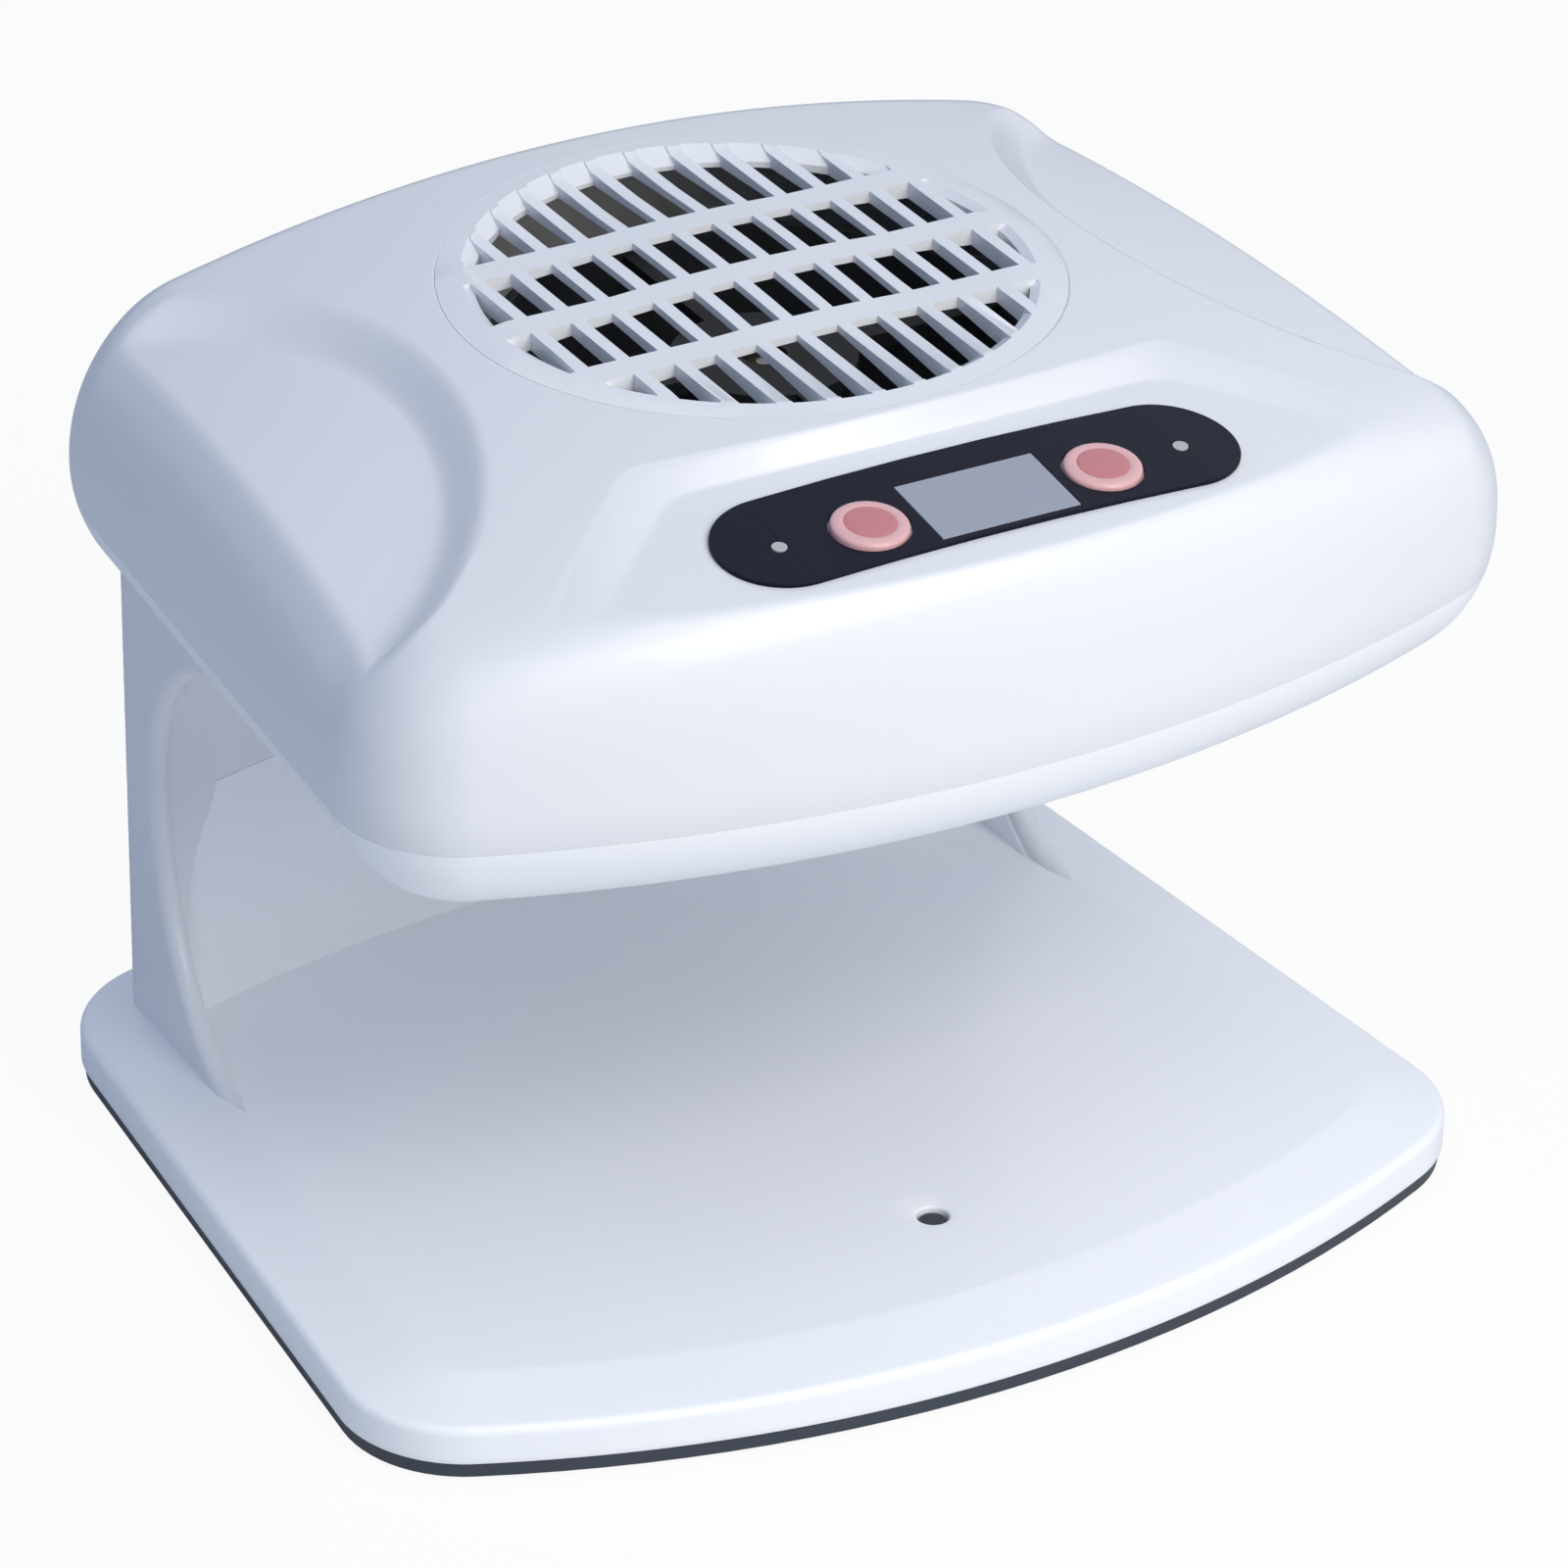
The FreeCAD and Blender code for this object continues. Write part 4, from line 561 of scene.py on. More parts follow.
@dataclass(frozen=True)
class Crown:
    """Domed top of the head: its highest level, radii across and along, and the peak's y."""

    top: float = 192.8
    across: float = 390.0
    along: float = 600.0
    peak: float = 10.0

    def level(self, x: Array, y: Array) -> Array:
        """Height of the dome: its top less x²/2R across and (y − peak)²/2R along."""
        return self.top - x ** 2 / (2 * self.across) - (y - self.peak) ** 2 / (2 * self.along)


@dataclass(frozen=True)
class Scoop:
    """Shallow hollow in each side of the crown; outside it the level climbs clear of the crown.

    Its oval is centred at x = ±middle and y = back, and reaches sideways by `wide`, forward by
    `long` and to the rear by `tail`. Its floor sinks by the depth over the slope's width.
    """

    middle: float = 130.0
    back: float = 8.0
    wide: float = 62.5
    long: float = 80.0
    tail: float = 74.0
    depth: float = 6.0
    slope: float = 9.0
    climb: float = 2.0

    def level(self, x: Array, y: Array, crown: Array) -> Array:
        """Height of the scoop's floor and wall, above the crown outside it.

        Formula: q is the oval's radius function; the distance inside its edge is (1 − q)
        over the length of q's gradient; the floor sinks by the depth over the slope's width.

        Args:
            x: plan x.
            y: plan y.
            crown: height of the crown there.

        Returns:
            Heights.
        """
        length = np.where(y > self.back, self.tail, self.long)
        u = (np.abs(x) - self.middle) / self.wide
        v = (y - self.back) / length
        q = np.sqrt(u ** 2 + v ** 2) + TINY
        steep = np.sqrt((u / (q * self.wide)) ** 2 + (v / (q * length)) ** 2) + TINY
        inside = (1.0 - q) / steep
        rise = np.clip(-inside, 0.0, None)
        return crown - self.depth * smooth_step(inside / self.slope) + self.climb * rise


@dataclass(frozen=True)
class PanelFrame:
    """Frame of the tilted control panel: its surface's middle, tilt and radius across."""

    middle: Place = (0.0, -79.0, 181.4)
    tilt: float = math.radians(7.4)
    radius: float = 800.0

    def place(self, points: Array) -> Array:
        """Put panel coordinates into the shared frame.

        Formula: (across, along, up) turned about X by the tilt and moved to the panel's middle.

        Args:
            points: panel coordinates, in millimetres.

        Returns:
            The same points in the shared frame.
        """
        cos, sin = math.cos(self.tilt), math.sin(self.tilt)
        x, a, n = points[..., 0], points[..., 1], points[..., 2]
        return np.stack([x + self.middle[0], self.middle[1] + a * cos - n * sin,
                         self.middle[2] + a * sin + n * cos], -1)

    def sag(self, across: float) -> float:
        """How far the panel's crowned surface lies below its middle at a distance across."""
        return self.radius - math.sqrt(self.radius ** 2 - across ** 2)


@dataclass(frozen=True)
class PanelEdge:
    """Bowed rear edge and two spreading side edges of the panel's floor or crest, in plan.

    The rear edge crosses the middle at y = line and lies back by the bow at x = ±bow_half. A side
    edge runs through (side_x, side_y) and spreads outwards by `spread` for each millimetre
    forward. The turn is the width of the corner's rounding.
    """

    line: float
    bow: float
    side_x: float
    side_y: float
    spread: float = 1.1
    bow_half: float = 50.0
    turn: float = 4.0

    def outside(self, x: Array, y: Array) -> Array:
        """Distance outside the edge, negative inside it, with rounded corners.

        Formula: the greater of the distances past the bowed rear line and past the side line.

        Args:
            x: plan x.
            y: plan y.

        Returns:
            Distances.
        """
        past_rear = y - self.line - self.bow * (x / self.bow_half) ** 2
        reach = self.side_x + self.spread * (self.side_y - y)
        past_side = (np.abs(x) - reach) / math.hypot(1.0, self.spread)
        return -soft_min(-past_rear, -past_side, self.turn)


@dataclass(frozen=True)
class PanelRecess:
    """Crowned floor at the front of the crown, with a sloping wall behind and beside it.

    The floor runs through the frame's middle, rises by the tilt for each millimetre to the rear
    and falls by the curve times x². The wall stands between the foot and the crest.
    """

    frame: PanelFrame = PanelFrame()
    tilt: float = 0.12988
    curve: float = 0.00063
    foot: PanelEdge = PanelEdge(line=-59.5, bow=2.3, side_x=66.7, side_y=-70.4)
    crest: PanelEdge = PanelEdge(line=-57.0, bow=6.2, side_x=75.3, side_y=-65.7)
    least_wall: float = 1.0
    climb: float = 1.5

    def level(self, x: Array, y: Array, crown: Array) -> Array:
        """Height of the recess's floor and of its wall, which rises from the foot to the crest.

        Formula: floor = tilted parabola; t is the share of the way from the foot's edge to the
        crest's; wall = floor + t·(crown − floor), and goes on rising outside the crest.

        Args:
            x: plan x.
            y: plan y.
            crown: height of the crown there.

        Returns:
            Heights.
        """
        _, middle, level = self.frame.middle
        floor = level + self.tilt * (y - middle) - self.curve * x ** 2
        past_foot, past_crest = self.foot.outside(x, y), self.crest.outside(x, y)
        width = np.clip(past_foot - past_crest, self.least_wall, None)
        part = np.clip(past_foot / width, 0.0, 1.0)
        return floor + part * (crown - floor) + self.climb * np.clip(past_crest, 0.0, None)


@dataclass(frozen=True)
class Flank:
    """Rounded sides of the head, above its widest level to the crown and below it to the belly.

    They lean in by `lean` at the crown and by `belly` at the bottom. The section's power grows
    from that of an oval to edge_full between edge_start and edge_end, and fades past edge_half.
    """

    widest: float = 144.5
    lean: float = 22.0
    belly: float = 25.0
    bottom: float = 116.5
    oval: float = 2.0
    edge_full: float = 4.0
    edge_start: float = -50.0
    edge_end: float = -88.0
    edge_half: float = 95.0
    edge_fade: float = 45.0

    def power(self, x: Array, y: Array) -> Array:
        """Exponent of the section: 2 is an oval, and the front's middle is fuller.

        Args:
            x: plan x.
            y: plan y.

        Returns:
            Exponents.
        """
        forward = smooth_step((self.edge_start - y) / (self.edge_start - self.edge_end))
        inside = 1.0 - smooth_step((np.abs(x) - self.edge_half) / self.edge_fade)
        return self.oval + (self.edge_full - self.oval) * forward * inside


@dataclass
class Head:
    """Upper and lower shells of the head.

    The creases are the widths of the roundings where the scoops and the panel cut the surface.
    The grille is the middle of its hole in plan, and the steps of its rim are how far it opens
    and how far that lies below the crown. The rows are the grid's rows on each stretch.
    """

    outline: PlanOutline = PlanOutline(
        half_front=124.2, half_rear=111.0, front=-104.5, front_bow=26.8, rear=93.6, rear_bow=4.4,
        corner_front=26.0, corner_rear=26.0, counts=(92, 48, 52, 36, 48))
    crown: Crown = Crown()
    scoop: Scoop = Scoop()
    panel: PanelRecess = PanelRecess()
    flank: Flank = Flank()
    scoop_crease: tuple[float, float] = (0.02, 1.6)
    panel_crease: float = 0.8
    seam: float = 136.0
    groove: float = 0.05
    lip_insets: tuple[float, float] = (0.08, 0.25)
    lip_rise: float = 0.01
    grille: tuple[float, float] = (0.0, 5.0)
    grille_radius: float = 60.05
    grille_lip: float = 0.12
    grille_rim: Steps = ((0.08, 0.015), (0.03, 0.06), (0.0, 0.14), (0.0, 2.6))
    outlet_radius: float = 52.3
    outlet_wall: float = 2.4
    seam_rows: int = 8
    flank_rows: int = 44
    crown_rows: int = 104
    belly_rows: int = 26
    under_rows: int = 14

    def __post_init__(self) -> None:
        """Work out the outline and how far the belly drops."""
        self.ring, self.normal = self.outline.ring()
        self.drop = self.flank.widest - self.flank.bottom

    def carve(self, x: Array, y: Array, level: Array) -> Array:
        """Lower a surface into the scoops and the panel's recess, with rounded creases.

        The scoop's wall leaves the crown without a crease, so it is rounded on the flank alone.

        Args:
            x: plan x.
            y: plan y.
            level: height of the surface.

        Returns:
            Carved heights.
        """
        crown = self.crown.level(x, y)
        crease = np.clip(crown - level, *self.scoop_crease)
        carved = soft_min(level, self.scoop.level(x, y, crown), crease)
        return soft_min(carved, self.panel.level(x, y, crown), self.panel_crease)

    def inset_plan(self, inset: Array) -> tuple[Array, Array]:
        """x and y of the outline moved in by each row's inset."""
        plan = self.ring[None] - inset[..., None] * self.normal[None]
        return plan[..., 0], plan[..., 1]

    def flank_grid(self, turns: Array) -> Array:
        """Upper flank as a grid.

        Formula: inset = lean·(1 − cos t);
        height = widest + (crown − widest)·(1 − cosⁿ t)^(1/n), with n from the flank's power.

        Args:
            turns: angles t of the rows.

        Returns:
            Grid of points.
        """
        cosine = np.cos(turns)[:, None]
        x, y = self.inset_plan(self.flank.lean * (1.0 - cosine))
        power = self.flank.power(x, y)
        part = np.clip(1.0 - cosine ** power, 0.0, 1.0) ** (1.0 / power)
        z = self.flank.widest + (self.crown.level(x, y) - self.flank.widest) * part
        return np.stack([x, y, self.carve(x, y, z)], -1)

    def belly_grid(self, turns: Array) -> Array:
        """Lower flank as a grid.

        Formula: inset = belly·(1 − cos t); height = widest − drop·sin t.

        Args:
            turns: angles t of the rows.

        Returns:
            Grid of points.
        """
        x, y = self.inset_plan(self.flank.belly * (1.0 - np.cos(turns))[:, None])
        z = self.flank.widest - self.drop * np.sin(turns)[:, None]
        return np.stack([x, y, np.broadcast_to(z, x.shape)], -1)

    def top_shell(self) -> bpy.types.Object:
        """Upper shell, from the seam over the flank and crown to the grille's hole.

        Formula: belly rows up to the widest level, flank rows, then rows that run straight in plan
        from the flank's last ring to the circle of the hole, at the carved crown's height.

        Returns:
            The piece.
        """
        seam_turn = math.asin((self.flank.widest - self.seam - self.groove) / self.drop)
        low = self.belly_grid(np.linspace(seam_turn, 0.0, self.seam_rows))
        lip = self.shifted(low[0], self.lip_insets, (-self.lip_rise, -self.groove))
        flank = self.flank_grid(np.linspace(0.0, math.pi / 2, self.flank_rows)[1:])
        way = directions(flank[-1], self.grille)
        hole = np.array(self.grille) + way * (self.grille_radius + self.grille_lip)
        plan = rows_between(flank[-1, :, :2], hole, self.crown_rows)
        x, y = plan[..., 0], plan[..., 1]
        top = np.stack([x, y, self.carve(x, y, self.crown.level(x, y))], -1)
        rim = []
        for open_by, fall in self.grille_rim:
            loop = top[-1].copy()
            loop[:, :2] = np.array(self.grille) + way * (self.grille_radius + open_by)
            loop[:, 2] -= fall
            rim.append(loop)
        rows = np.concatenate([lip[::-1], low, flank, top, np.stack(rim)])
        maker = MeshMaker("head_top_skin")
        maker.grid(rows, closed=True)
        return maker.build(SHELL)

    def shifted(self, ring: Array, insets: Sequence[float], rises: Sequence[float]) -> Array:
        """Copies of a ring moved in and up, for a lip.

        Args:
            ring: points of the ring.
            insets: how far each copy moves in.
            rises: how far each copy moves up.

        Returns:
            Grid of the copies.
        """
        copies = []
        for inset, rise in zip(insets, rises):
            loop = ring.copy()
            loop[:, :2] -= inset * self.normal
            loop[:, 2] += rise
            copies.append(loop)
        return np.stack(copies)

    def lower_shell(self) -> bpy.types.Object:
        """Lower shell: belly below the seam, flat underside and the outlet's hole.

        Formula: belly rows down to the bottom, then rows that run straight in plan to the circle
        of the hole, whose wall rises from its edge.

        Returns:
            The piece.
        """
        seam_turn = math.asin((self.flank.widest - self.seam + self.groove) / self.drop)
        belly = self.belly_grid(np.linspace(seam_turn, math.pi / 2, self.belly_rows))
        lip = self.shifted(belly[0], self.lip_insets[::-1], (self.groove, self.lip_rise))
        hole = directions(belly[-1], (0.0, 0.0)) * self.outlet_radius
        plan = rows_between(belly[-1, :, :2], hole, self.under_rows)
        flat = at_level(plan, self.flank.bottom)
        wall = at_level(hole, self.flank.bottom + self.outlet_wall)
        rows = np.concatenate([lip, belly, flat, wall[None]])
        maker = MeshMaker("head_lower_skin")
        maker.grid(rows, closed=True, flip=True)
        # Painted light: the belly takes the brighter copy of the shell's white.
        return maker.build(SHELL_PAINTED_LIGHT)

    def build(self) -> None:
        """Make and hang both shells."""
        dress(self.top_shell(), "housing", "shell", "head_top_shell")
        dress(self.lower_shell(), "housing", "shell_light", "head_lower_shell")


# ---------------------------------------------------------------- column


@dataclass(frozen=True)
class CheekEdge:
    """Front edge of the cheeks, seen from the side.

    Its hollow is centred at y = back and z = level, reaches to the rear by `reach` and goes down
    by `drop`; a fillet leads from it into an upright run that ends at the top. The steps are the
    points on the oval, the circle, the fillet and the upright run.
    """

    back: float = 34.0
    level: float = 71.7
    reach: float = 37.5
    drop: float = 56.9
    fillet: float = 5.0
    top: float = 136.0
    steps: tuple[int, int, int, int] = (60, 44, 10, 10)

    def path(self) -> tuple[Array, Array]:
        """Points (y, z) of the edge from its foot up, and unit normals towards the opening.

        Formula: a quarter of an oval, most of a quarter circle, a small round and an upright run;
        each normal is square to its curve.

        Returns:
            Points and normals.
        """
        centre = np.array([self.back, self.level])
        low = np.linspace(-math.pi / 2, 0.0, self.steps[0], endpoint=False)
        oval = centre + np.stack([self.reach * np.cos(low), self.drop * np.sin(low)], 1)
        oval_way = -np.stack([self.drop * np.cos(low), self.reach * np.sin(low)], 1)
        hub = self.back + self.fillet
        lift = math.sqrt((self.reach + self.fillet) ** 2 - self.fillet ** 2)
        meet = math.atan2(lift, self.fillet)
        high = np.linspace(0.0, meet, self.steps[1], endpoint=False)
        round_way = -np.stack([np.cos(high), np.sin(high)], 1)
        circle = centre - self.reach * round_way
        turn = np.linspace(math.pi + meet, math.pi, self.steps[2], endpoint=False)
        fillet_way = np.stack([np.cos(turn), np.sin(turn)], 1)
        corner = np.array([hub, self.level + lift]) + self.fillet * fillet_way
        rise = np.linspace(self.level + lift, self.top, self.steps[3])
        upright = np.stack([np.full_like(rise, self.back), rise], 1)
        upright_way = np.repeat(np.array([[-1.0, 0.0]]), len(rise), 0)
        points = np.concatenate([oval, circle, corner, upright])
        ways = np.concatenate([oval_way, round_way, fillet_way, upright_way])
        return points, ways / np.linalg.norm(ways, axis=1, keepdims=True)


@dataclass
class Column:
    """Rear housing with its two cheeks, and the hollowed inner wall.

    The bead is the radius of the cheeks' rounded edge, and the rim the distance from that edge to
    the inner wall. The rim's bend is how far its curve is drawn to its end, and its hem the step
    behind it. The housing's top turns forward by the ledge, past ledge_from and over ledge_fade.
    A lip's steps are distances out and shares of the groove.
    """

    outer: PlanOutline = PlanOutline(
        half_front=100.1, half_rear=96.6, front=-38.0, front_bow=4.0, rear=93.6, rear_bow=3.0,
        corner_front=10.0, corner_rear=10.0, counts=(2, 2, 40, 16, 40))
    inner: PlanOutline = PlanOutline(
        half_front=95.3, half_rear=91.8, front=-68.0, front_bow=4.0, rear=86.0, rear_bow=14.5,
        corner_front=10.0, corner_rear=10.0, counts=(2, 2, 60, 16, 40))
    cheek: CheekEdge = CheekEdge()
    bead: float = 2.4
    rim: float = 3.4
    rim_bend: float = 0.7
    rim_hem: Place = (1.2, 0.6, 0.0)
    ledge: float = 2.2
    ledge_from: float = 70.0
    ledge_fade: float = 15.0
    gland: Bore = Bore(across=-34.0, level=32.0, behind=85.0, radius=4.9)
    lining_seam: float = 66.0
    lining_top: float = 119.0
    groove: float = 0.1
    lip_hub: tuple[float, float] = (0.0, 20.0)
    lip_steps: Steps = ((0.12, 0.2), (0.35, 1.0))
    wall_columns: int = 70
    wall_rows: int = 60
    bead_steps: int = 13
    rim_steps: int = 7

    def __post_init__(self) -> None:
        """Work out the edge's path and the rim's line behind it."""
        self.edge, self.way = self.cheek.path()
        self.back = self.edge - self.rim * self.way

    @staticmethod
    def half(outline: PlanOutline) -> tuple[Array, Array]:
        """Right half of an outline from the middle of the rear to the front, as y and x.

        Args:
            outline: the outline.

        Returns:
            y, falling, and x at the same points.
        """
        points, _ = outline.right_half()
        points = points[::-1]
        return points[:, 1], points[:, 0]

    def wall(self, outline: PlanOutline, reach: Array, level: Array) -> Array:
        """Upright wall along the right half of an outline, from the rear to a front edge.

        Formula: every row follows the outline's length from the rear middle to the point where
        its y equals the edge's, in even steps.

        Args:
            outline: plan of the wall.
            reach: y at which each row ends.
            level: height of each row.

        Returns:
            Grid of the right half.
        """
        y, x = self.half(outline)
        run = np.concatenate([[0.0], np.cumsum(np.hypot(np.diff(x), np.diff(y)))])
        ends = np.interp(-reach, -y, run)
        along = ends[:, None] * np.linspace(0.0, 1.0, self.wall_columns)[None]
        return np.stack([np.interp(along, run, x), np.interp(along, run, y),
                         np.repeat(level[:, None], self.wall_columns, 1)], -1)

    @staticmethod
    def mirrored(grid: Array) -> Array:
        """Right half and its mirror image as one grid from the left edge to the right one."""
        left = grid[:, :0:-1] * np.array([-1.0, 1.0, 1.0])
        return np.concatenate([left, grid], 1)

    def side_x(self, y: Array, inset: float) -> Array:
        """x of the outer side at a station, moved in by an inset."""
        rear_y, rear_x = self.half(self.outer)
        return np.interp(-y, -rear_y, rear_x) - inset

    def housing(self) -> bpy.types.Object:
        """Outer skin, the bead along the cheeks' edge and the rim behind it.

        Formula: the bead is a half circle about the line that lies one bead's radius behind the
        edge; the rim runs on from it to the inner wall as a curve of second degree. The top turns
        forward under the head, and the wall is open behind the cord gland.

        Returns:
            The piece.
        """
        mid = self.edge - self.bead * self.way
        outer = self.wall(self.outer, mid[:, 0], mid[:, 1])
        x_mid = self.side_x(mid[:, 0], self.bead)
        turn = np.linspace(0.0, math.pi, self.bead_steps)
        x = x_mid[:, None] + self.bead * np.cos(turn)
        lift = self.bead * np.sin(turn)
        bead = np.stack([x, mid[:, :1] + lift * self.way[:, :1],
                         mid[:, 1:] + lift * self.way[:, 1:]], -1)
        start = bead[:, -1]
        rim_end = self.rim_end()
        bend_y = rim_end[:, 1] * self.rim_bend + start[:, 1] * (1.0 - self.rim_bend)
        bend = np.stack([start[:, 0], bend_y, rim_end[:, 2]], -1)
        part = np.linspace(0.0, 1.0, self.rim_steps)[1:][None, :, None]
        rim = ((1 - part) ** 2 * start[:, None] + 2 * part * (1 - part) * bend[:, None]
               + part ** 2 * rim_end[:, None])
        hem = rim_end[:, None] + np.array(self.rim_hem)
        rows = np.concatenate([outer, bead[:, 1:], rim, hem], 1)
        ledge = rows[-1:].copy()
        past = (ledge[..., 1] - self.ledge_from) / self.ledge_fade
        ledge[..., 1] -= self.ledge * smooth_step(past)
        rows = np.concatenate([rows, ledge])
        maker = MeshMaker("rear_housing_skin", SHARP_WALLS)
        maker.grid(self.mirrored(rows), flip=True)
        maker.pierce(self.gland)
        return maker.build(SHELL)

    def rim_end(self) -> Array:
        """End of the rim on the inner wall for each point of the edge."""
        y, x = self.half(self.inner)
        return np.stack([np.interp(-self.back[:, 0], -y, x), self.back[:, 0], self.back[:, 1]], -1)

    def inner_wall(self, low: float, high: float) -> Array:
        """Inner wall between two levels, both halves.

        Formula: the rows' levels and ends follow the edge's path, moved back to the rim's end.

        Args:
            low: lowest level.
            high: highest level.

        Returns:
            Grid from the left cheek to the right one.
        """
        level = np.linspace(low, high, self.wall_rows)
        reach = np.interp(level, self.back[:, 1], self.back[:, 0])
        return self.mirrored(self.wall(self.inner, reach, level))

    def lining(self) -> bpy.types.Object:
        """Upper inner wall, with a small rounded lip along its lower seam.

        Returns:
            The piece.
        """
        grid = self.inner_wall(self.lining_seam + self.groove, self.lining_top)
        maker = MeshMaker("column_lining_skin")
        maker.grid(np.concatenate([self.lip(grid[0], 1.0)[::-1], grid]))
        # Painted light: the inner wall takes the slightly brighter copy of the shell's white.
        return maker.build(LINING_PAINTED_LIGHT)

    def lip(self, edge: Array, rise: float) -> Array:
        """Rows that turn a wall's edge away from the opening, the nearest one first.

        Formula: each row is the edge moved straight out from the hub and up or down by its share
        of the groove.

        Args:
            edge: points of the wall's edge.
            rise: 1 where the edge looks down, −1 where it looks up.

        Returns:
            Grid of the rows.
        """
        out = at_level(directions(edge, self.lip_hub), 0.0)
        rows = [edge + out * move - np.array([0.0, 0.0, share * self.groove * rise])
                for move, share in self.lip_steps]
        return np.stack(rows)

    def build(self) -> None:
        """Make and hang the housing and the lining."""
        dress(self.housing(), "housing", "shell", "rear_housing")
        dress(self.lining(), "housing", "shell_light", "column_lining")


# ---------------------------------------------------------------- base


@dataclass
class Base:
    """Base with its bevelled edge, sensor hole and the column's inner wall rising from it.

    The side is upright from the foot to the widest level, where the bevel's round leads over into
    its sloping band. The foot's steps are insets and rises; the eye is the sensor's hole, and its
    steps are how far it opens and how far that lies below the top.
    """

    column: Column
    outline: PlanOutline = PlanOutline(
        half_front=122.7, half_rear=108.5, front=-104.8, front_bow=30.6, rear=103.2, rear_bow=4.0,
        corner_front=26.0, corner_rear=27.0)
    top: float = 14.8
    widest: float = 12.0
    foot: float = 4.2
    foot_steps: Steps = ((2.4, 0.0), (0.5, 0.0), (0.15, 0.15), (0.0, 0.5))
    side_from: float = 1.5
    side_short: float = 0.4
    bevel_wide: float = 16.0
    bevel_soft: float = 0.3
    rounding: float = 2.0
    eye: tuple[float, float] = (4.6, -62.6)
    eye_radius: float = 3.2
    eye_lip: float = 0.5
    eye_steps: Steps = ((0.2, 0.1), (0.05, 0.3), (0.0, 0.6), (0.0, 2.4))
    wall_sunk: float = 0.3
    side_rows: int = 5
    round_rows: int = 9
    bevel_rows: int = 8
    top_rows: int = 26

    def __post_init__(self) -> None:
        """Work out the outline."""
        self.ring, self.normal = self.outline.ring()

    def loop(self, inset: float, level: float) -> Array:
        """Ring moved in by an inset, at a level."""
        return at_level(self.ring - inset * self.normal, level)

    def skin(self) -> bpy.types.Object:
        """Outer skin, from the foot of the side over the bevel to the sensor's hole.

        Formula: the side is upright; an arc of radius r leads over into the sloping band, which
        climbs straight to the flat top; the top runs straight in plan to the hole's circle.

        Returns:
            The piece.
        """
        rows = [self.loop(inset, self.foot + rise) for inset, rise in self.foot_steps]
        slope = math.atan2(self.top - self.widest, self.bevel_wide)
        turn = math.pi / 2 - slope
        hub = self.widest + self.rounding * (math.tan(slope) - 1.0 / math.cos(slope))
        side = np.linspace(self.foot + self.side_from, hub - self.side_short, self.side_rows)
        rows += [self.loop(0.0, level) for level in side]
        rows += [self.loop(self.rounding * (1.0 - math.cos(t)), hub + self.rounding * math.sin(t))
                 for t in np.linspace(0.0, turn, self.round_rows)]
        start = self.rounding * (1.0 - math.cos(turn))
        band = np.linspace(start, self.bevel_wide - self.bevel_soft, self.bevel_rows)[1:]
        rows += [self.loop(inset, self.widest + inset * math.tan(slope)) for inset in band]
        rows.append(self.loop(self.bevel_wide + self.bevel_soft, self.top))
        way = directions(rows[-1], self.eye)
        hole = np.array(self.eye) + way * (self.eye_radius + self.eye_lip)
        rows += list(at_level(rows_between(rows[-1][:, :2], hole, self.top_rows), self.top))
        rows += [at_level(np.array(self.eye) + way * (self.eye_radius + open_by), self.top - fall)
                 for open_by, fall in self.eye_steps]
        maker = MeshMaker("base_top_skin", SHARP_WALLS)
        maker.grid(np.stack(rows), closed=True)
        wall = self.column.inner_wall(self.top - self.wall_sunk,
                                      self.column.lining_seam - self.column.groove)
        maker.grid(np.concatenate([wall, self.column.lip(wall[-1], -1.0)]))
        # Painted light: the base takes the brighter copy of the shell's white.
        return maker.build(SHELL_PAINTED_LIGHT)

    def build(self) -> None:
        """Make and hang the base's skin."""
        dress(self.skin(), "housing", "shell_light", "base_top_shell")


# ---------------------------------------------------------------- parts taken over from the frame


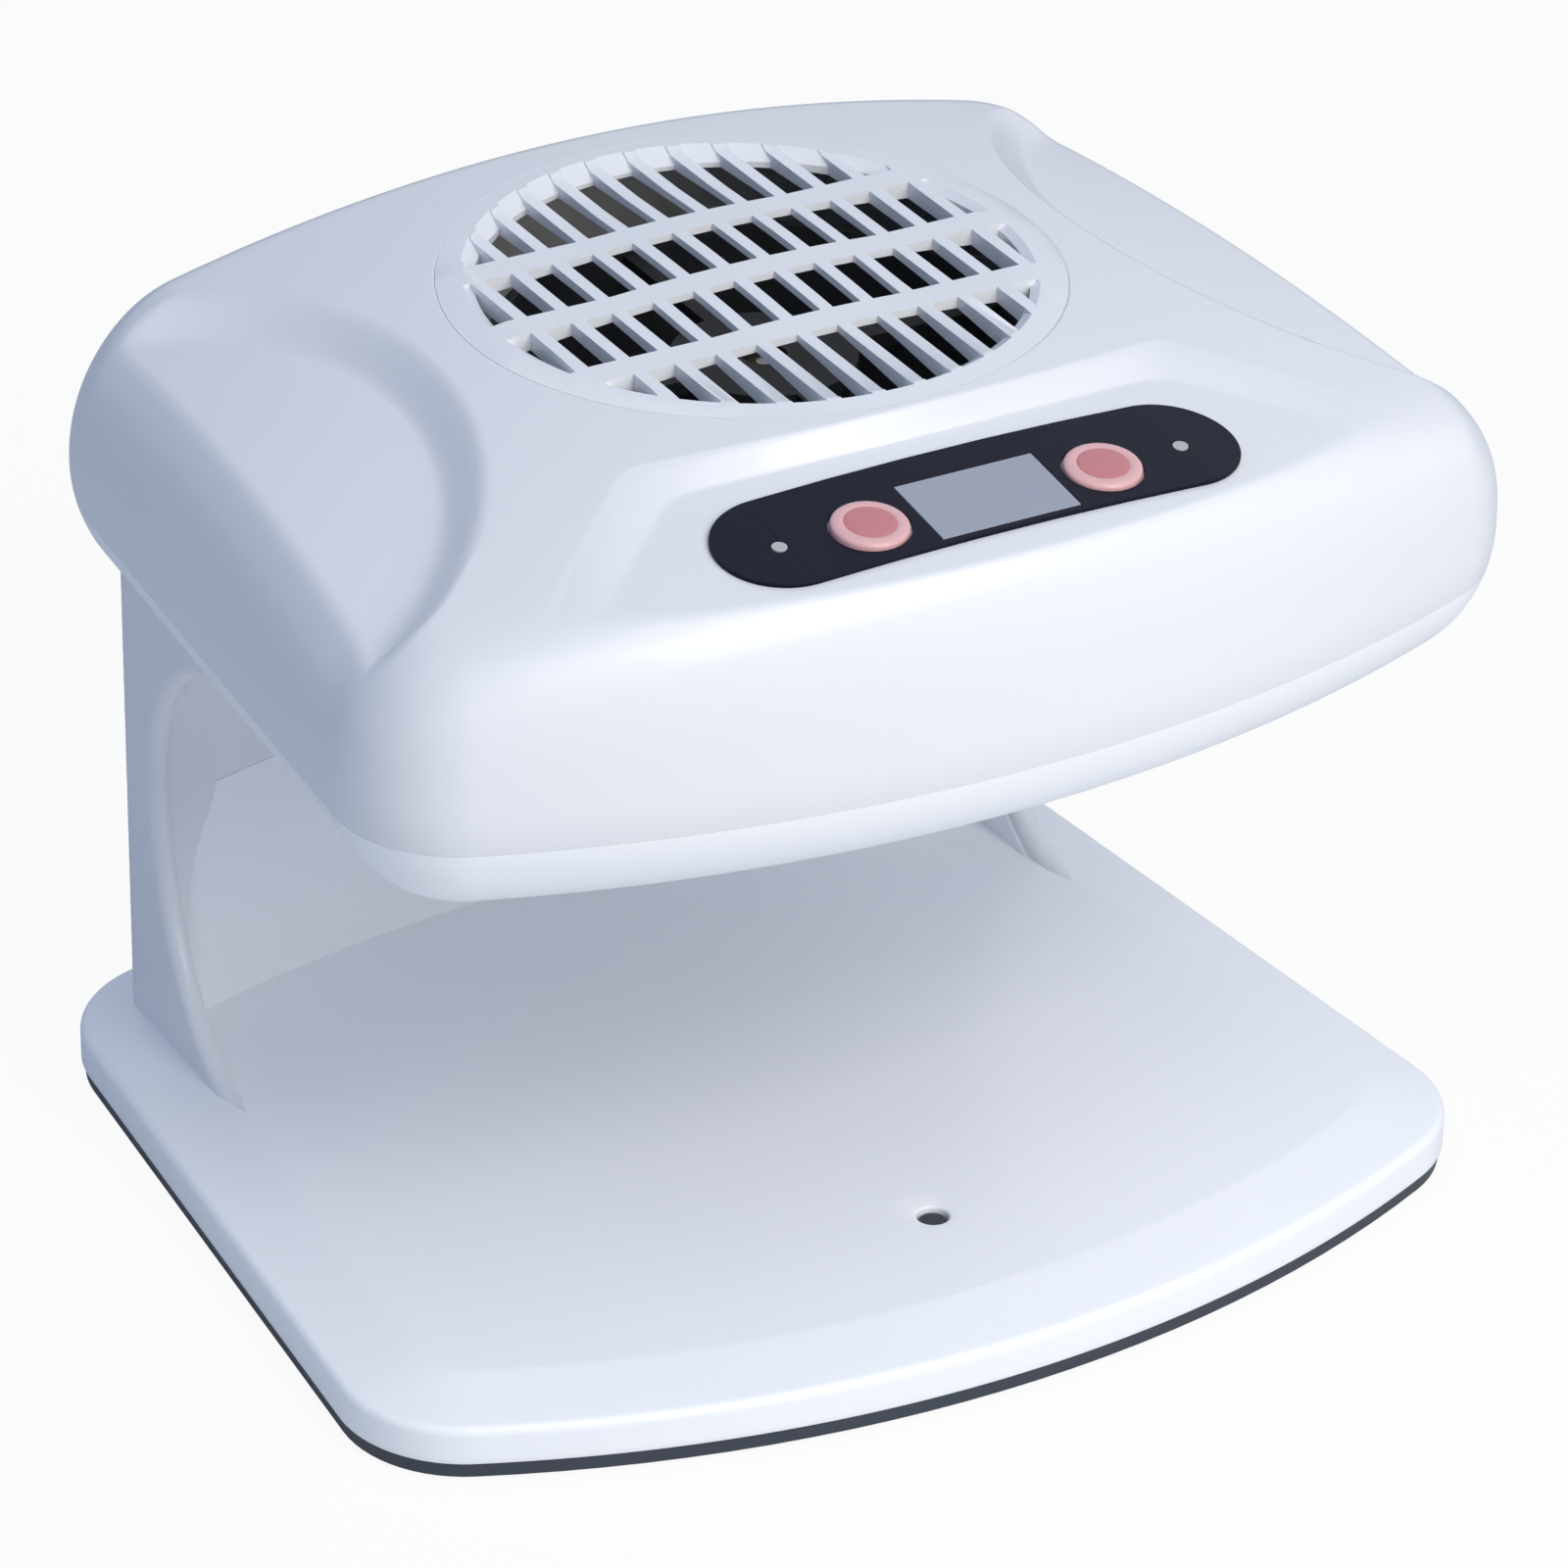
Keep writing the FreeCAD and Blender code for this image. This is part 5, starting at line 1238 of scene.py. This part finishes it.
@dataclass
class CadDress:
    """Gives every node that stays its finish, or a refined copy where its edges show.

    A refined node is given its finish and the width of its edges' rounding.
    """

    nodes: dict[str, bpy.types.Object]
    weld: float = 0.004
    flat_angle: float = math.radians(1.0)
    sharp_angle: float = math.radians(30.0)
    bevel_angle: float = math.radians(35.0)
    bevel_segments: int = 2
    most_corners: int = 60
    plain: ClassVar[dict[str, Finish]] = {
        "lcd_module": COMPONENT, "control_board": BOARD, "tact_switch_left": COMPONENT,
        "tact_switch_right": COMPONENT, "tact_plunger_left": COMPONENT,
        "tact_plunger_right": COMPONENT, "fan_duct": DARK, "motor_bracket": DARK,
        "motor_can": STEEL, "bearing_upper": BRASS, "bearing_lower": BRASS, "fan_shaft": STEEL,
        "impeller": DARK, "shaft_clip": STEEL, "heater_coil": WIRE, "heater_frame": MICA,
        "thermal_cutout": STEEL, "foot_front_left": RUBBER, "foot_front_right": RUBBER,
        "foot_rear_left": RUBBER, "foot_rear_right": RUBBER, "column_strut_left": STEEL,
        "column_strut_right": STEEL, "power_board": BOARD, "transformer": COMPONENT,
        "relay": COMPONENT, "terminal_block": COMPONENT, "sensor_board": BOARD,
        "sensor_eye": LENS_DARK, "emitter_board": BOARD, "emitter_lens": LENS_DARK,
        "sensor_lead": LEAD, "head_screws": STEEL, "base_screws": STEEL,
    }
    refined: ClassVar[dict[str, tuple[Finish, float]]] = {
        "intake_grille": (GRILLE, 0.18), "outlet_grille": (DARK, 0.3), "base_plate": (PLATE, 0.3),
        "cord_gland": (DARK, 0.4), "control_overlay": (OVERLAY, 0.2), "lcd_window": (WINDOW, 0.12),
        "indicator_left": (LENS, 0.15), "indicator_right": (LENS, 0.15),
    }

    def copy(self, name: str, finish: Finish, round_mm: float) -> bpy.types.Object:
        """Refined copy of a node: merged, flat faces joined, edges rounded.

        Args:
            name: CAD node.
            finish: its finish.
            round_mm: width of the rounding.

        Returns:
            The piece.
        """
        work = bmesh.new()
        work.from_mesh(self.nodes[name].data)
        bmesh.ops.remove_doubles(work, verts=work.verts, dist=self.weld * MM)
        bmesh.ops.dissolve_limit(work, angle_limit=self.flat_angle, verts=work.verts,
                                 edges=work.edges)
        large = [face for face in work.faces if len(face.verts) > self.most_corners]
        bmesh.ops.triangulate(work, faces=large)
        mesh = bpy.data.meshes.new(f"{name}_fine")
        work.to_mesh(mesh)
        work.free()
        mesh.materials.clear()
        mesh.materials.append(SHOP.get(finish))
        mesh.polygons.foreach_set("material_index", np.zeros(len(mesh.polygons), np.int32))
        mesh.polygons.foreach_set("use_smooth", np.ones(len(mesh.polygons), bool))
        mesh.set_sharp_from_angle(angle=self.sharp_angle)
        piece = bpy.data.objects.new(f"{name}_fine", mesh)
        bpy.context.scene.collection.objects.link(piece)
        bevel = piece.modifiers.new("edge", "BEVEL")
        bevel.width = round_mm * MM
        bevel.segments = self.bevel_segments
        bevel.limit_method = "ANGLE"
        bevel.angle_limit = self.bevel_angle
        bevel.harden_normals = True
        return piece

    def build(self) -> None:
        """Give each node its finish and make the refined copies."""
        for name, finish in self.plain.items():
            data = self.nodes[name].data
            data.materials.clear()
            data.materials.append(SHOP.get(finish))
        for name, (finish, round_mm) in self.refined.items():
            dress(self.copy(name, finish, round_mm), "housing", finish.slot, name)
        LOG.info("%d nodes dressed", len(self.plain))


# ---------------------------------------------------------------- controls


@dataclass
class Buttons:
    """The two push buttons: a pale pink rim round a deeper domed middle; the rim's paleness is
    painted light.

    Each stands by the offset to one side of the panel's middle and by `front` along it. Heights
    are above the panel's surface. The groove and the rim are radii and their falls below the top.
    The keeper is the flange under the panel, and the stem ends on the switch on the board.
    """

    panel: PanelFrame
    offset: float = 24.6
    front: float = -3.0
    radius: float = 7.4
    top: float = 2.1
    core: float = 4.6
    core_sunk: float = 0.05
    core_fall: float = 0.12
    groove: Steps = ((4.8, 0.28), (5.0, 0.30), (5.2, 0.22))
    rim: Steps = ((5.5, 0.16), (6.2, 0.19), (6.7, 0.30), (7.1, 0.52), (7.33, 0.82))
    rim_fall: float = 1.2
    keeper_top: float = -3.5
    keeper_lip: float = 0.8
    keeper_thick: float = 0.8
    stem_radius: float = 1.8
    board_depth: float = 12.0
    switch_high: float = 5.0
    core_rows: int = 10
    around: int = 72

    def cap(self, name: str, side: int) -> bpy.types.Object:
        """One cap with its keeper and stem.

        Formula: a profile turned round the cap's axis: a low dome, a shallow ring groove, a
        rounded rim, the skirt, the keeper flange and the stem down to the switch.

        Args:
            name: name of the piece.
            side: −1 for the left button, 1 for the right one.

        Returns:
            The piece.
        """
        drop = self.panel.sag(self.offset)
        keeper = self.radius + self.keeper_lip
        keeper_low = self.keeper_top - self.keeper_thick
        stem_low = drop - self.board_depth + self.switch_high
        core_top = self.top - self.core_sunk
        dome = [(r, core_top - self.core_fall * (r / self.core) ** 2)
                for r in np.linspace(0.0, self.core, self.core_rows)]
        groove = [(r, self.top - fall) for r, fall in self.groove]
        rim = [(r, self.top - fall) for r, fall in (*self.rim, (self.radius, self.rim_fall))]
        skirt = [(self.radius, self.keeper_top), (keeper, self.keeper_top), (keeper, keeper_low),
                 (self.stem_radius, keeper_low), (self.stem_radius, stem_low), (0.0, stem_low)]
        maker = MeshMaker(name, SHARP_WALLS)
        for mark, profile in enumerate((dome + groove[:2], groove[1:] + rim + skirt)):
            grid = lathe(np.array(profile), (side * self.offset, self.front), self.around)
            grid[..., 2] -= drop
            maker.grid(self.panel.place(grid), closed=True, flip=True, mark=mark)
        # The rim's paler pink is painted light.
        return maker.build(BUTTON_CORE, BUTTON_RIM_PAINTED_LIGHT)

    def build(self) -> None:
        """Make and hang both caps on their keys."""
        dress(self.cap("cool_cap", -1), "cool_key", "button", "cool_button")
        dress(self.cap("hot_cap", 1), "hot_key", "button", "hot_button")


# ---------------------------------------------------------------- studio


@dataclass(frozen=True)
class Lamp:
    """Square soft lamp; its place and side are in metres, its power in watts."""

    name: str
    spot: Place
    size: float
    power: float
    color: Color


@dataclass
class Studio:
    """Floor, soft light and camera.

    The camera looks along a line through the target, moved right and up by its shifts; the focal
    length is given in pixels of the frame. The camera's clip, the floor's reach and the lamps' aim
    are in metres.
    """

    azimuth: float = math.radians(30.0904)
    elevation: float = math.radians(29.4536)
    roll: float = math.radians(0.951)
    target: Place = (0.0, 47.0, 93.6)
    shift_right: float = 28.19
    shift_up: float = -31.51
    distance: float = 1571.3
    focal_px: float = 8053.3
    frame_px: float = 1600.0
    sensor_width: float = 36.0
    clip: tuple[float, float] = (0.05, 20.0)
    sky: Color = (0.57, 0.725, 1.0)
    sky_strength: float = 0.49
    seen_sky: Color = (1.0, 1.0, 1.0)
    floor_reach: float = 6.0
    floor_color: Color = (0.80, 0.80, 0.80)
    floor_roughness: float = 0.9
    floor_specular: float = 0.1
    floor_glow: float = 0.93
    aim: Place = (0.0, 0.0, 0.1)
    lamps: tuple[Lamp, ...] = (
        Lamp("key", spot=(0.17, -1.02, 0.79), size=0.75, power=9.2, color=(1.0, 0.942, 0.80)),
        Lamp("top", spot=(-0.02, -0.72, 1.20), size=0.9, power=4.0, color=(1.0, 0.98, 0.96)),
    )

    def camera(self) -> None:
        """Camera at the dryer's front left, turned by its azimuth, elevation and roll."""
        a, e, roll = self.azimuth, self.elevation, self.roll
        level_right = np.array([math.cos(a), -math.sin(a), 0.0])
        level_up = np.array([math.sin(a) * math.sin(e), math.cos(a) * math.sin(e), math.cos(e)])
        back = np.array([-math.sin(a) * math.cos(e), -math.cos(a) * math.cos(e), math.sin(e)])
        right = math.cos(roll) * level_right + math.sin(roll) * level_up
        up = -math.sin(roll) * level_right + math.cos(roll) * level_up
        move = right * self.shift_right + up * self.shift_up + back * self.distance
        data = bpy.data.cameras.new("view")
        data.sensor_fit = "HORIZONTAL"
        data.sensor_width = self.sensor_width
        data.lens = self.focal_px / self.frame_px * data.sensor_width
        data.clip_start, data.clip_end = self.clip
        item = bpy.data.objects.new("view", data)
        pose = Matrix.Identity(4)
        for column, axis in enumerate((right, up, back)):
            for row in range(3):
                pose[row][column] = float(axis[row])
        pose.translation = Vector((np.array(self.target) + move) * MM)
        item.matrix_world = pose
        bpy.context.scene.collection.objects.link(item)
        bpy.context.scene.camera = item

    def hang(self, lamp: Lamp) -> None:
        """Hang a lamp and turn it to the aim.

        Args:
            lamp: its place, size, power and colour.
        """
        data = bpy.data.lights.new(lamp.name, "AREA")
        data.size = lamp.size
        data.energy = lamp.power
        data.color = lamp.color
        item = bpy.data.objects.new(lamp.name, data)
        spot = Vector(lamp.spot)
        turn = (Vector(self.aim) - spot).to_track_quat("-Z", "Y").to_matrix().to_4x4()
        item.matrix_world = Matrix.Translation(spot) @ turn
        bpy.context.scene.collection.objects.link(item)

    @staticmethod
    def seen_mix(tree: bpy.types.NodeTree) -> bpy.types.Node:
        """Factor that is 1 for camera, glossy and transmitted rays.

        Args:
            tree: node tree to add it to.

        Returns:
            The last node, whose Value is the factor.
        """
        path = tree.nodes.new("ShaderNodeLightPath")
        first = tree.nodes.new("ShaderNodeMath")
        first.operation = "MAXIMUM"
        second = tree.nodes.new("ShaderNodeMath")
        second.operation = "MAXIMUM"
        tree.links.new(path.outputs["Is Camera Ray"], first.inputs[0])
        tree.links.new(path.outputs["Is Glossy Ray"], first.inputs[1])
        tree.links.new(first.outputs["Value"], second.inputs[0])
        tree.links.new(path.outputs["Is Transmission Ray"], second.inputs[1])
        return second

    def world(self) -> None:
        """Pale world: white where it is seen, a soft blue-grey where it lights."""
        world = bpy.data.worlds.new("studio")
        world.use_nodes = True
        tree = world.node_tree
        tree.nodes.clear()
        seen = self.seen_mix(tree)
        light = tree.nodes.new("ShaderNodeBackground")
        light.inputs["Color"].default_value = (*self.sky, 1.0)
        light.inputs["Strength"].default_value = self.sky_strength
        show = tree.nodes.new("ShaderNodeBackground")
        show.inputs["Color"].default_value = (*self.seen_sky, 1.0)
        mix = tree.nodes.new("ShaderNodeMixShader")
        out = tree.nodes.new("ShaderNodeOutputWorld")
        tree.links.new(seen.outputs["Value"], mix.inputs["Fac"])
        tree.links.new(light.outputs["Background"], mix.inputs[1])
        tree.links.new(show.outputs["Background"], mix.inputs[2])
        tree.links.new(mix.outputs["Shader"], out.inputs["Surface"])
        bpy.context.scene.world = world

    def floor(self) -> None:
        """Plain white floor under the feet, mostly bright of itself where it is seen."""
        mesh = bpy.data.meshes.new("floor")
        corners = ((-1, -1), (1, -1), (1, 1), (-1, 1))
        spots = [(x * self.floor_reach, y * self.floor_reach, 0.0) for x, y in corners]
        mesh.from_pydata(spots, [], [(0, 1, 2, 3)])
        item = bpy.data.objects.new("floor", mesh)
        bpy.context.scene.collection.objects.link(item)
        material = bpy.data.materials.new("floor_white")
        material.use_nodes = True
        tree = material.node_tree
        shader = tree.nodes["Principled BSDF"]
        shader.inputs["Base Color"].default_value = (*self.floor_color, 1.0)
        shader.inputs["Roughness"].default_value = self.floor_roughness
        shader.inputs["Specular IOR Level"].default_value = self.floor_specular
        show = tree.nodes.new("ShaderNodeEmission")
        path = tree.nodes.new("ShaderNodeLightPath")
        share = tree.nodes.new("ShaderNodeMath")
        share.operation = "MULTIPLY"
        share.inputs[1].default_value = self.floor_glow
        mix = tree.nodes.new("ShaderNodeMixShader")
        tree.links.new(path.outputs["Is Camera Ray"], share.inputs[0])
        tree.links.new(share.outputs["Value"], mix.inputs["Fac"])
        tree.links.new(shader.outputs["BSDF"], mix.inputs[1])
        tree.links.new(show.outputs["Emission"], mix.inputs[2])
        tree.links.new(mix.outputs["Shader"], tree.nodes["Material Output"].inputs["Surface"])
        mesh.materials.append(material)

    def build(self) -> None:
        """Set up camera, floor, world and lamps."""
        self.camera()
        self.floor()
        self.world()
        for lamp in self.lamps:
            self.hang(lamp)
        bpy.context.scene.view_settings.view_transform = "Standard"


# ---------------------------------------------------------------- all of it


@dataclass
class Dryer:
    """The whole dryer, built sub-assembly by sub-assembly."""

    nodes: dict[str, bpy.types.Object]

    def build(self) -> None:
        """Build the classes in order."""
        column = Column()
        makers: list[tuple[str, Callable[[], None]]] = [
            ("head", Head().build), ("column", column.build), ("base", Base(column).build),
            ("buttons", Buttons(PanelFrame()).build), ("other nodes", CadDress(self.nodes).build),
        ]
        for name, make in makers:
            LOG.info("building the %s", name)
            make()


def main() -> None:
    """Load the frame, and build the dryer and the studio."""
    logging.basicConfig(level=logging.INFO)
    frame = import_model()
    Studio().build()
    Dryer(frame["nodes"]).build()


if __name__ == "__main__":
    main()
